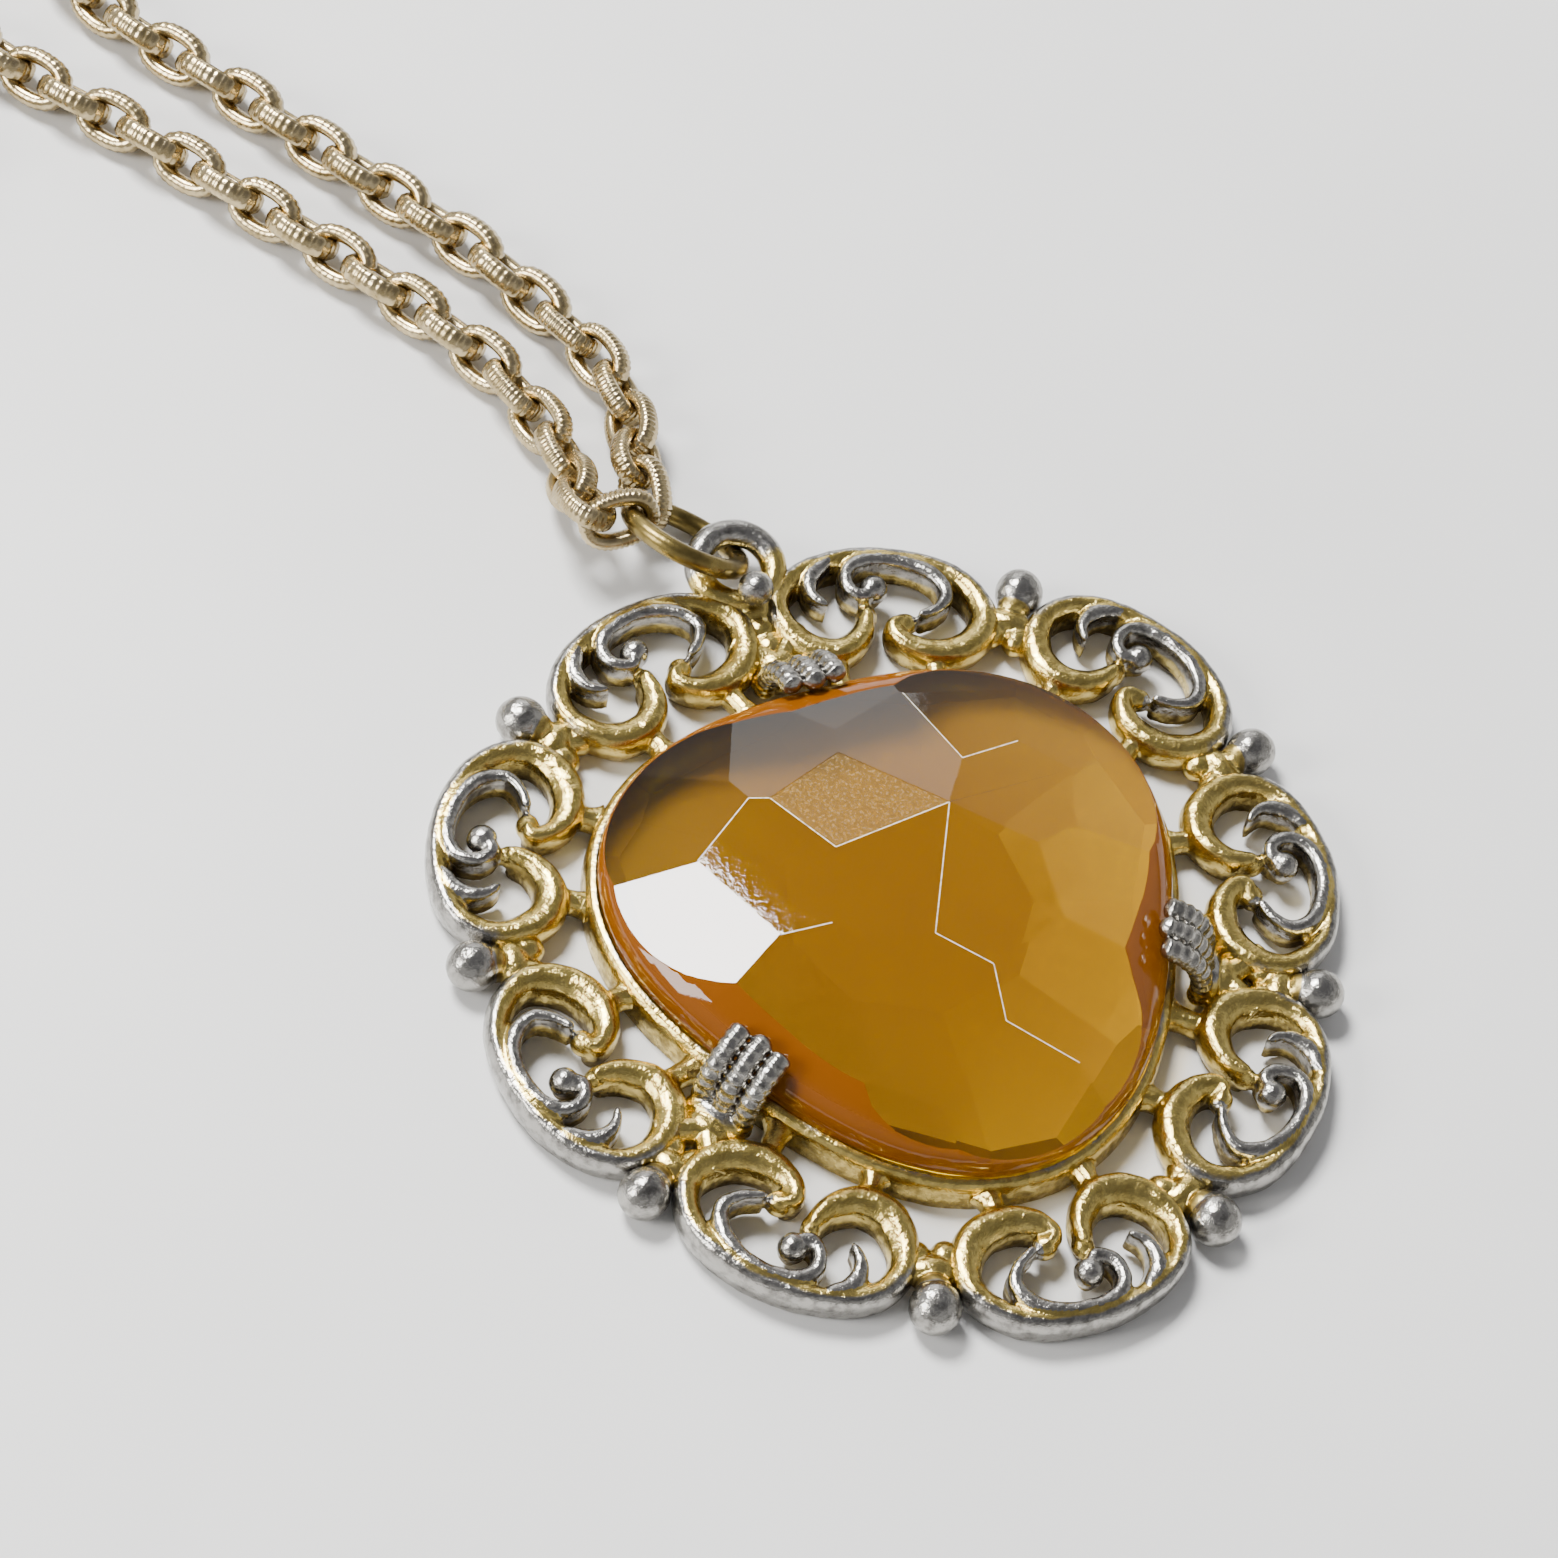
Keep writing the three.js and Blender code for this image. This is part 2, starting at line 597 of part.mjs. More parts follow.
function springRing(end, heading) {
  const side = new THREE.Vector3(-heading.y, heading.x, 0);
  const place = (geometry, distance, height) =>
    put(geometry, heading, side, end.clone().addScaledVector(heading, distance).setZ(height));
  const small = 0.35 + SMALL_RING + SMALL_WIRE;
  add(
    "clasp_jump_ring",
    place(ringOfWire(SMALL_RING, SMALL_WIRE, 6, 16), small, CLASP_HEIGHT),
    bronze,
  );
  const eyeAt = small + SMALL_RING + 0.05;
  const middle = eyeAt + EYE_RING + CLASP_RING + CLASP_TUBE - 0.3;
  const mouth = CLASP_MOUTH / 2;
  const slotEnd = mouth + CLASP_TRAVEL + 0.35;
  const slot = new THREE.Shape();
  slot.absarc(0, 0, CLASP_RING + 1.4, mouth - 0.1, slotEnd, false);
  slot.absarc(0, 0, CLASP_RING + 0.2, slotEnd, mouth - 0.1, true);
  slot.closePath();
  const pipe = arcOfRing(CLASP_RING, CLASP_TUBE, CLASP_BORE, mouth, 2 * Math.PI - mouth, 16);
  const lug = ringOfWire(EYE_RING, EYE_WIRE, 6, 12).rotateX(Math.PI / 2);
  lug.translate(eyeAt - middle, 0, 0);
  const slotted = solid(pipe)
    .subtract(solid(plate(slot, -0.3, 0.3)))
    .add(solid(lug).subtract(solid(arcOfRing(CLASP_RING, CLASP_BORE, 0, 2.6, 3.7, 6))));
  add("clasp_body", place(geometryOf(slotted), middle, CLASP_HEIGHT), gold);
  const tongue = arcOfRing(CLASP_RING, CLASP_TONGUE, 0, -mouth - 0.12, mouth + 0.75, 12);
  const knob = new THREE.CylinderGeometry(0.2, 0.2, 1.3, 8);
  knob.translate(0, CLASP_RING + 0.75, 0);
  const head = new THREE.SphereGeometry(0.42, 8, 6).translate(0, CLASP_RING + 1.45, 0);
  const lever = joined(knob, head).rotateZ(mouth + 0.2 - Math.PI / 2);
  add("clasp_trigger", place(joined(tongue, lever), middle, CLASP_HEIGHT), gold);
}

function catchRing(end, heading) {
  const ring = ringOfWire(CATCH_RING, CATCH_WIRE, 6, 18);
  const place = end.clone().addScaledVector(heading, 0.35 + CATCH_RING + CATCH_WIRE);
  add("catch_ring", ring.translate(place.x, place.y, CATCH_WIRE + 0.1), bronze);
}

// ---- Assembly ----
rim();
for (let k = 1; k <= SCROLLS; k++) scroll(k);
for (let k = 1; k < SCROLLS; k++) bead(k);
bail();
stone();
["claw_top", "claw_left", "claw_right"].forEach((name, i) => claw(name, TOP + i * 3 * STEP));
jumpRing();
const leftEnd = chain("left");
const rightEnd = chain("right");
springRing(leftEnd.end, leftEnd.heading);
catchRing(rightEnd.end, rightEnd.heading);

// The origin is on the table, under the middle of the box round the pendant and its hinged links.
const loose = /chain|clasp|catch/;
const box = new THREE.Box3();
for (const mesh of necklace.children) {
  if (!loose.test(mesh.name)) box.expandByObject(mesh);
}
necklace.position.set(-(box.min.x + box.max.x) / 2, -(box.min.y + box.max.y) / 2, -box.min.z);

export default necklace;
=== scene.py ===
# %% [markdown]
# # A pendant necklace
# A large faceted amber stone sits in an openwork frame of nine cast scrolls. A bail and a jump ring hang it on
# a cable chain. The necklace lies on a table with its clasp undone. Each piece below is made in millimetres
# round the middle of the pendant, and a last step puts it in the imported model's frame, in metres.

import math

import bmesh
import bpy
import numpy as np
from mathutils import Matrix, Vector, noise
from mathutils.bvhtree import BVHTree


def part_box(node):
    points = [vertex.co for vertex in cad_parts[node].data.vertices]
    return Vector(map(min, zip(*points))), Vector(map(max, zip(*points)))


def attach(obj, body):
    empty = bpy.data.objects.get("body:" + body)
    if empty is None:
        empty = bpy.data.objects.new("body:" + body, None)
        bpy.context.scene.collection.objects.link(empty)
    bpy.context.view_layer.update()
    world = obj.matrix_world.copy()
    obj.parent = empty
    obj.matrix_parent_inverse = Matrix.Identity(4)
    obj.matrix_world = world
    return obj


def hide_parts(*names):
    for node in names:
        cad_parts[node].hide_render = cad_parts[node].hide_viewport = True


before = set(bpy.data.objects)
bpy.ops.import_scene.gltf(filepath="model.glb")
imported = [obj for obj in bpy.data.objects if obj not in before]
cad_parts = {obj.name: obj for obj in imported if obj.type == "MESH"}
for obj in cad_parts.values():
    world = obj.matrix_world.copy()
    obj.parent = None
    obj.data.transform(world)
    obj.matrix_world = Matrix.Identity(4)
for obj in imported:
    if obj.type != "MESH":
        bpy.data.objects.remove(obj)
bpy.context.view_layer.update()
MM = 0.001
RIM_RADIUS, RIM_WAVE, RIM_WIDTH, RIM_HEIGHT = 16.7, 1.3, 1.0, 2.2
rim_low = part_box("rim")[0]
# The rim's lowest point lies straight below the pendant's middle, so it gives the middle.
MIDDLE = Vector((0, rim_low[1] / MM + RIM_RADIUS + RIM_WAVE + RIM_WIDTH / 2, rim_low[2] / MM))
print("pendant's middle in the frame, mm:", [round(v, 3) for v in MIDDLE])


def put(points):
    """Millimetres round the pendant's middle to metres in the frame."""
    return (np.asarray(points, float) + np.array(MIDDLE)) * MM


# %% [markdown]
# ## The camera
# It looks down at the pendant from the lower left with a long lens, so the chain runs away towards the top
# left corner and the far coils stay out of view.

# %% Camera
FRAME_SIZE = 1558
FOCAL = 4500
camera_data = bpy.data.cameras.new("camera")
camera_data.sensor_width = 36
camera_data.lens = FOCAL / FRAME_SIZE * 36
camera_data.clip_start = 0.01
camera_data.clip_end = 10
camera = bpy.data.objects.new("camera", camera_data)
bpy.context.scene.collection.objects.link(camera)
RIGHT = Vector((0.911, -0.3855, 0.1462)).normalized()
BACK = Vector((-0.3335, -0.4804, 0.8112)).normalized()
UP = BACK.cross(RIGHT).normalized()
eye = Vector(put([(-89.91, -113.98, 212.42)])[0])
camera.matrix_world = Matrix.Translation(eye) @ Matrix((RIGHT, UP, BACK)).transposed().to_4x4()
bpy.context.scene.camera = camera
print("camera at", [round(v, 4) for v in eye], "lens", round(camera_data.lens, 1))


# %% [markdown]
# ## Helpers
# A smooth line through a few chosen places, a mesh from points and faces, and a sweep of a section along a
# line. Most of the necklace is wire or a cast strip, so most of it is a sweep.

# %% Helpers
def smooth_line(places, spacing):
    """Points a fixed distance apart on a centripetal curve through the places."""
    p = [np.array(q, float) for q in places]
    p = [2 * p[0] - p[1]] + p + [2 * p[-1] - p[-2]]
    fine = []
    for a, b, c, d in zip(p, p[1:], p[2:], p[3:]):
        dt = [max(np.linalg.norm(y - x) ** 0.5, 1e-6) for x, y in ((a, b), (b, c), (c, d))]
        t1 = ((b - a) / dt[0] - (c - a) / (dt[0] + dt[1]) + (c - b) / dt[1]) * dt[1]
        t2 = ((c - b) / dt[1] - (d - b) / (dt[1] + dt[2]) + (d - c) / dt[2]) * dt[1]
        t = np.linspace(0, 1, 40, endpoint=False)[:, None]
        fine.append(
            b + t1 * t + (-3 * b + 3 * c - 2 * t1 - t2) * t**2 + (2 * b - 2 * c + t1 + t2) * t**3
        )
    fine = np.vstack(fine + [p[-2][None]])
    far = np.concatenate([[0], np.cumsum(np.linalg.norm(np.diff(fine, axis=0), axis=1))])
    count = max(2, round(far[-1] / spacing) + 1)
    at = np.linspace(0, far[-1], count)
    return np.stack([np.interp(at, far, fine[:, i]) for i in range(fine.shape[1])], axis=1)


def mesh_of(name, points, faces):
    mesh = bpy.data.meshes.new(name)
    mesh.from_pydata([tuple(p) for p in points], [], [tuple(int(i) for i in f) for f in faces])
    mesh.update()
    return mesh


def piece(name, mesh, material, smooth=True):
    """An object of a mesh in millimetres, moved into the frame."""
    count = len(mesh.vertices)
    flat = np.empty(count * 3)
    mesh.vertices.foreach_get("co", flat)
    mesh.vertices.foreach_set("co", put(flat.reshape(-1, 3)).ravel())
    mesh.polygons.foreach_set("use_smooth", [smooth] * len(mesh.polygons))
    mesh.materials.clear()
    mesh.materials.append(material)
    mesh.update()
    obj = bpy.data.objects.new(name, mesh)
    bpy.context.scene.collection.objects.link(obj)
    return obj


def grid_faces(rows, columns, closed_rows, start=0):
    """The quads of a grid of points whose columns go round. Rows may close on themselves too."""
    faces = []
    for i in range(rows if closed_rows else rows - 1):
        j = (i + 1) % rows
        for k in range(columns):
            m = (k + 1) % columns
            faces.append([start + i * columns + k, start + i * columns + m, start + j * columns + m, start + j * columns + k])
    return faces


def sweep(line, sides, ups, section, closed=False):
    """Points and faces of a section carried along a line. section(i) gives its points as (side, up)."""
    points, columns = [], 0
    for i, at in enumerate(line):
        ring = section(i)
        columns = len(ring)
        points += [at + s * sides[i] + u * ups[i] for s, u in ring]
    faces = grid_faces(len(line), columns, closed)
    if not closed:
        faces.append(list(range(columns))[::-1])
        faces.append([(len(line) - 1) * columns + k for k in range(columns)])
    return np.array(points), faces


def joined(parts):
    """Several (points, faces) as one."""
    points, faces, start = [], [], 0
    for p, f in parts:
        points.append(np.asarray(p))
        faces += [[i + start for i in face] for face in f]
        start += len(p)
    return np.vstack(points), faces


def outward(mesh):
    bm = bmesh.new()
    bm.from_mesh(mesh)
    bmesh.ops.recalc_face_normals(bm, faces=bm.faces)
    bm.to_mesh(mesh)
    bm.free()
    return mesh


def tangents(line, closed=False):
    if closed:
        t = np.roll(line, -1, axis=0) - np.roll(line, 1, axis=0)
    else:
        t = np.gradient(line, axis=0)
    return t / np.linalg.norm(t, axis=1)[:, None]


def circle(radius, count):
    return [
        (radius * math.cos(2 * math.pi * k / count), radius * math.sin(2 * math.pi * k / count))
        for k in range(count)
    ]


def ball(at, radii, rings=12, around=18):
    """A closed ball of three radii."""
    points, faces = [], []
    for i in range(1, rings):
        a = math.pi * i / rings
        for k in range(around):
            b = 2 * math.pi * k / around
            points.append((math.sin(a) * math.cos(b), math.sin(a) * math.sin(b), math.cos(a)))
    faces = grid_faces(rings - 1, around, False)
    top, bottom = len(points), len(points) + 1
    points += [(0, 0, 1), (0, 0, -1)]
    for k in range(around):
        m = (k + 1) % around
        faces.append([top, m, k][::-1])
        faces.append([bottom, (rings - 2) * around + k, (rings - 2) * around + m][::-1])
    return np.array(points) * np.array(radii) + np.array(at), faces


# %% [markdown]
# ## Finishes
# The casting was plated in gold, and its high faces are a worn silver tone. The recesses hold dark brown
# antiquing, and the same brown is painted shade too: it darkens a piece where rays find it closed in and
# towards its bottom, where shade falls. One function makes such a metal: a piece's own "silver" and "recess"
# attributes say where each tone lies, and noise in Object coordinates breaks their edges up, so the pattern
# stays put in every view.

# %% Node helpers
def node(tree, kind, **values):
    n = tree.nodes.new(kind)
    for key, value in values.items():
        setattr(n, key, value)
    return n


def noise_node(tree, coords, scale, detail=4, rough=0.55):
    n = node(tree, "ShaderNodeTexNoise")
    n.inputs["Scale"].default_value = scale
    n.inputs["Detail"].default_value = detail
    n.inputs["Roughness"].default_value = rough
    tree.links.new(coords, n.inputs["Vector"])
    return n.outputs["Fac"]


def ramp_node(tree, value, stops):
    n = node(tree, "ShaderNodeValToRGB")
    ramp = n.color_ramp
    while len(ramp.elements) < len(stops):
        ramp.elements.new(0.5)
    for element, (place, color) in zip(ramp.elements, stops):
        element.position = place
        element.color = (*color, 1) if len(color) == 3 else color
    tree.links.new(value, n.inputs["Fac"])
    return n.outputs["Color"]


def math_node(tree, operation, a, b):
    n = node(tree, "ShaderNodeMath", operation=operation)
    for socket, v in zip(n.inputs, (a, b)):
        if isinstance(v, (int, float)):
            socket.default_value = v
        else:
            tree.links.new(v, socket)
    return n.outputs[0]


def mix_node(tree, share, a, b):
    n = node(tree, "ShaderNodeMix", data_type="RGBA")
    if isinstance(share, (int, float)):
        n.inputs[0].default_value = share
    else:
        tree.links.new(share, n.inputs[0])
    for socket, v in ((n.inputs[6], a), (n.inputs[7], b)):
        if isinstance(v, tuple):
            socket.default_value = (*v, 1)
        else:
            tree.links.new(v, socket)
    return n.outputs[2]


def bump_node(tree, height, strength, distance):
    n = node(tree, "ShaderNodeBump")
    n.inputs["Strength"].default_value = strength
    n.inputs["Distance"].default_value = distance
    tree.links.new(height, n.inputs["Height"])
    return n.outputs["Normal"]


def fresh(name):
    material = bpy.data.materials.new(name)
    material.use_nodes = True
    tree = material.node_tree
    shader = tree.nodes["Principled BSDF"]
    coords = node(tree, "ShaderNodeTexCoord").outputs["Object"]
    return material, tree, shader, coords


# %% Two-tone cast metal
GOLD = (0.68, 0.525, 0.165)
GOLD_DEEP = (0.34, 0.24, 0.06)
SILVER = (0.40, 0.385, 0.355)
SILVER_DARK = (0.14, 0.132, 0.12)
# The antiquing's dark brown, which also serves as painted shade.
ANTIQUING_AND_SHADE_BROWN = (0.05, 0.030, 0.009)


def cast_metal(name, silver_bias=0.0, antiquing_and_shade_strength=1.0):
    material, tree, shader, coords = fresh(name)
    link = tree.links.new
    silver = node(tree, "ShaderNodeAttribute", attribute_name="silver").outputs["Fac"]
    recess = node(tree, "ShaderNodeAttribute", attribute_name="recess").outputs["Fac"]
    patches = noise_node(tree, coords, 420, 5, 0.6)
    blotches = noise_node(tree, coords, 1500, 4, 0.6)
    fine = noise_node(tree, coords, 5200, 3, 0.6)
    worn = math_node(tree, "ADD", silver, math_node(tree, "MULTIPLY", math_node(tree, "SUBTRACT", patches, 0.5), 1.3))
    worn = math_node(tree, "ADD", worn, silver_bias)
    tone = ramp_node(tree, worn, [(0.40, (0, 0, 0)), (0.62, (1, 1, 1))])
    gold = mix_node(tree, ramp_node(tree, blotches, [(0.38, (0, 0, 0)), (0.66, (1, 1, 1))]), GOLD, GOLD_DEEP)
    gold = mix_node(tree, 0.35, gold, GOLD)
    gray = mix_node(tree, ramp_node(tree, blotches, [(0.46, (0, 0, 0)), (0.72, (1, 1, 1))]), SILVER, SILVER_DARK)
    metal = mix_node(tree, tone, gold, gray)
    # Painted shade with the antiquing: the "recess" attribute mixes the dark brown into the hollows and also where
    # shade falls.
    antiquing_and_shade = math_node(tree, "ADD", recess, math_node(tree, "MULTIPLY", math_node(tree, "SUBTRACT", blotches, 0.5), 0.8))
    antiquing_and_shade = math_node(tree, "MULTIPLY", ramp_node(tree, antiquing_and_shade, [(0.42, (0, 0, 0)), (0.85, (1, 1, 1))]), 0.85 * antiquing_and_shade_strength)
    color = mix_node(tree, antiquing_and_shade, metal, ANTIQUING_AND_SHADE_BROWN)
    link(color, shader.inputs["Base Color"])
    shader.inputs["Metallic"].default_value = 1
    rough = math_node(tree, "ADD", math_node(tree, "MULTIPLY", blotches, 0.22), 0.10)
    rough = math_node(tree, "ADD", rough, math_node(tree, "MULTIPLY", antiquing_and_shade, 0.35))
    link(rough, shader.inputs["Roughness"])
    lumps = math_node(tree, "ADD", math_node(tree, "MULTIPLY", blotches, 0.7), math_node(tree, "MULTIPLY", fine, 0.16))
    link(bump_node(tree, lumps, 0.55, 0.00022), shader.inputs["Normal"])
    return material


cast = cast_metal("worn gold and silver casting")
bead_metal = cast_metal("silver bead over gold", 0.0, 0.9)


# %% Wire finishes
def wire_metal(name, light, dark, roughness, scale):
    material, tree, shader, coords = fresh(name)
    broad = noise_node(tree, coords, scale, 4)
    fine = noise_node(tree, coords, scale * 5, 3)
    mix = ramp_node(tree, broad, [(0.35, (0, 0, 0)), (0.68, (1, 1, 1))])
    tree.links.new(mix_node(tree, mix, light, dark), shader.inputs["Base Color"])
    shader.inputs["Metallic"].default_value = 1
    rough = math_node(tree, "ADD", math_node(tree, "MULTIPLY", broad, 0.25), roughness)
    tree.links.new(rough, shader.inputs["Roughness"])
    tree.links.new(bump_node(tree, fine, 0.25, 0.00008), shader.inputs["Normal"])
    return material


champagne = wire_metal("champagne chain wire", (0.60, 0.485, 0.28), (0.33, 0.25, 0.12), 0.12, 900)
antique_brass = wire_metal("antique brass wire", (0.36, 0.27, 0.09), (0.13, 0.095, 0.03), 0.16, 520)
clasp_gold = wire_metal("clasp gold", (0.80, 0.62, 0.26), (0.50, 0.35, 0.12), 0.12, 700)

# %% [markdown]
# The stone is amber glass. Its colour comes from absorption, so thick parts are deeper than thin ones, and
# a painted orange glow on the smooth shoulder and a painted highlight on a few edges are added to it. Lamps
# would be blocked by a glass with refraction, so shadow rays see a tinted clear surface instead, and the
# light that falls through the stone is warm.

# %% Amber glass
AMBER_LIGHT = (0.90, 0.74, 0.28)


def amber_glass():
    material, tree, shader, coords = fresh("amber glass")
    edge = node(tree, "ShaderNodeAttribute", attribute_name="edge").outputs["Fac"]
    scuff = node(tree, "ShaderNodeAttribute", attribute_name="scuff").outputs["Fac"]
    ground = node(tree, "ShaderNodeAttribute", attribute_name="ground").outputs["Fac"]
    pressed = node(tree, "ShaderNodeAttribute", attribute_name="pressed").outputs["Fac"]
    fine = noise_node(tree, coords, 2600, 4)
    scratches = noise_node(tree, coords, 5200, 6, 0.75)
    # Painted highlight with wear: on the listed edges the glass turns pale and frosted, standing in for bright edge
    # glints.
    worn = math_node(tree, "MULTIPLY", edge, ramp_node(tree, fine, [(0.30, (0.4, 0.4, 0.4)), (0.55, (1, 1, 1))]))
    scratched = ramp_node(tree, scratches, [(0.50, (0, 0, 0)), (0.62, (1, 1, 1))])
    scratched = math_node(tree, "MULTIPLY", scuff, math_node(tree, "ADD", math_node(tree, "MULTIPLY", scratched, 0.28), 0.10))
    frost_glint_and_glow_share = math_node(tree, "MAXIMUM", math_node(tree, "MULTIPLY", worn, 0.75), scratched)
    # Painted glow: the smooth shoulder gets a share of orange diffuse, standing in for light caught inside the stone.
    frost_glint_and_glow_share = math_node(tree, "MAXIMUM", frost_glint_and_glow_share, math_node(tree, "MULTIPLY", ground, 0.22))
    tree.links.new(mix_node(tree, worn, (0.28, 0.21, 0.002), (1.0, 0.93, 0.74)), shader.inputs["Base Color"])
    shader.inputs["IOR"].default_value = 1.52
    shader.inputs["Transmission Weight"].default_value = 1
    rough = math_node(tree, "ADD", math_node(tree, "MULTIPLY", edge, 0.2), math_node(tree, "MULTIPLY", scuff, 0.12))
    rough = math_node(tree, "ADD", rough, math_node(tree, "MULTIPLY", pressed, 0.3))
    tree.links.new(rough, shader.inputs["Roughness"])
    tree.links.new(bump_node(tree, fine, 0.06, 0.00003), shader.inputs["Normal"])
    # This diffuse layer carries the pale colour of the painted edge highlight, the tan of the scratches, and the
    # painted orange glow on the shoulder.
    frost_glint_and_glow = node(tree, "ShaderNodeBsdfDiffuse")
    frost_glint_and_glow_color = mix_node(tree, ground, mix_node(tree, edge, (0.62, 0.42, 0.17), (1.0, 0.93, 0.72)), (0.72, 0.20, 0.004))
    tree.links.new(frost_glint_and_glow_color, frost_glint_and_glow.inputs["Color"])
    face = node(tree, "ShaderNodeMixShader")
    tree.links.new(frost_glint_and_glow_share, face.inputs[0])
    tree.links.new(shader.outputs[0], face.inputs[1])
    tree.links.new(frost_glint_and_glow.outputs[0], face.inputs[2])
    clear = node(tree, "ShaderNodeBsdfTransparent")
    clear.inputs["Color"].default_value = (*AMBER_LIGHT, 1)
    path = node(tree, "ShaderNodeLightPath").outputs["Is Shadow Ray"]
    both = node(tree, "ShaderNodeMixShader")
    tree.links.new(path, both.inputs[0])
    tree.links.new(face.outputs[0], both.inputs[1])
    tree.links.new(clear.outputs[0], both.inputs[2])
    absorb = node(tree, "ShaderNodeVolumeAbsorption")
    absorb.inputs["Color"].default_value = (0.88, 0.82, 0.04, 1)
    absorb.inputs["Density"].default_value = 300
    out = tree.nodes["Material Output"]
    tree.links.new(both.outputs[0], out.inputs["Surface"])
    tree.links.new(absorb.outputs[0], out.inputs["Volume"])
    return material


amber = amber_glass()

# %% [markdown]
# ## The chain
# Both halves of the chain are limp cords of links. Their routes run over the table from the jump ring, out of
# view, and into one neat turn each. Twelve links near the ring move on their own, and the frame's own solids
# say where each of those lies: a link's long, wide and thin directions come from the spread of its points.

# %% The routes
LINK_LENGTH, LINK_WIDTH, LINK_WIRE, LINK_PITCH, LINK_REACH = 5.0, 3.6, 0.5, 2.94, 2.0
COIL_OUT, COIL_IN, COIL_SWEEP, COIL_STEPS = 18, 15.8, math.radians(335), 14
TAIL = [(14.4, 20), (12.4, 34), (10.4, 46)]
FLOOR_HEIGHT = 1.66
ROUTES = {
    "left": {
        "over": [(-9.6, 47.2), (-11.5, 50.6), (-14.6, 55.6), (-18.3, 61.2), (-23.0, 68.0), (-28.5, 75.4)],
        "coil": (-50.3, 78.1),
        "start": math.radians(36.9),
        "turn": 1,
        "lean": -1,
    },
    "right": {
        "over": [(-5.2, 51.8), (-6.8, 54.8), (-10.2, 60.4), (-15.4, 68.8), (-21.6, 79.0)],
        "coil": (-9.5, 99.2),
        "start": math.radians(209),
        "turn": -1,
        "lean": -1,
    },
}


def axes_of(name):
    """A node's middle and its long, wide and thin directions, in millimetres round the pendant."""
    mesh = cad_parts[name].data
    points = np.empty(len(mesh.vertices) * 3)
    mesh.vertices.foreach_get("co", points)
    points = np.unique(np.round(points.reshape(-1, 3), 7), axis=0) / MM - np.array(MIDDLE)
    middle = (points.max(axis=0) + points.min(axis=0)) / 2
    middle = points.mean(axis=0)
    spread, turn = np.linalg.eigh(np.cov((points - middle).T))
    return middle, turn[:, 2], turn[:, 1], turn[:, 0]


def route(side):
    """The points of one half of the chain, from the far bar of its last moving link."""
    r = ROUTES[side]
    middle, along, _, _ = axes_of(f"{side}_link_6")
    if np.dot(along, np.array([*r["over"][0], FLOOR_HEIGHT]) - middle) < 0:
        along = -along
    places = [middle + LINK_REACH * along] + [(*p, FLOOR_HEIGHT) for p in r["over"]]

    def turned(radius, angle):
        a = r["start"] + r["turn"] * angle
        return (r["coil"][0] + radius * math.cos(a), r["coil"][1] + radius * math.sin(a), FLOOR_HEIGHT)

    for i in range(COIL_STEPS + 1):
        share = i / COIL_STEPS
        places.append(turned(COIL_OUT + (COIL_IN - COIL_OUT) * share, COIL_SWEEP * share))
    places += [turned(radius, COIL_SWEEP + math.radians(more)) for radius, more in TAIL]
    return smooth_line(places, 0.25)


lines = {side: route(side) for side in ROUTES}
for side, line in lines.items():
    print(side, "half beyond its moving links, mm:", round((len(line) - 1) * 0.25, 1))

# %% [markdown]
# One link is an oval of flat-sided wire. Fine grooves are struck across its outer face, which is what makes
# the chain glitter, so they are part of the mesh.

# %% One link
def link_mesh(steps, around, grooves, thick, broad):
    """An oval link. A power a little above two makes the oval fuller than an ellipse."""
    long, wide, power = LINK_LENGTH / 2 - LINK_WIRE, LINK_WIDTH / 2 - LINK_WIRE, 2 / 2.35
    line = []
    for i in range(steps):
        c, s = math.cos(2 * math.pi * i / steps), math.sin(2 * math.pi * i / steps)
        line.append((long * math.copysign(abs(c) ** power, c), wide * math.copysign(abs(s) ** power, s), 0.0))
    far = np.array(line)
    gaps = np.linalg.norm(np.roll(far, -1, axis=0) - far, axis=1)
    at = np.concatenate([[0], np.cumsum(gaps)])
    even = np.linspace(0, at[-1], steps, endpoint=False)
    far = np.vstack([far, far[:1]])
    line = np.stack([np.interp(even, at, far[:, i]) for i in range(3)], axis=1)
    along = tangents(line, True)
    sides = np.column_stack([along[:, 1], -along[:, 0], np.zeros(steps)])
    ups = np.tile([0.0, 0.0, 1.0], (steps, 1))
    shape = []
    for k in range(around):
        a = 2 * math.pi * k / around
        c, s = math.cos(a), math.sin(a)
        shape.append((math.copysign(abs(c) ** 0.75, c), math.copysign(abs(s) ** 0.85, s)))

    def section(i):
        cut = 0.07 * (0.5 - 0.5 * math.cos(2 * math.pi * i * grooves / steps)) ** 2
        return [(c * thick - (cut if c > 0.3 else 0), s * broad) for c, s in shape]

    return sweep(line, sides, ups, section, True)


def placed(part, axes, middle):
    points, faces = part
    return points @ np.array(axes) + middle, faces


near_link = link_mesh(180, 12, 36, 0.49, 0.66)
for side in ROUTES:
    for i in range(1, 7):
        name = f"{side}_link_{i}"
        middle, along, wide, thin = axes_of(name)
        points, faces = placed(near_link, (along, wide, thin), middle)
        points[:, 2] += max(0, -points[:, 2].min())
        obj = piece(name + "_wire", outward(mesh_of(name, points, faces)), champagne)
        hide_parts(name)
        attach(obj, name)
print("a moving link has", len(near_link[1]), "faces")

# %% [markdown]
# The rest of each half is the same link again and again along the route. Geometry Nodes do that: the route is
# cut into steps of one pitch, a link is set on each point and turned along the route, and it leans half over
# to one side and the other in turn, because each link must sit square to the next.

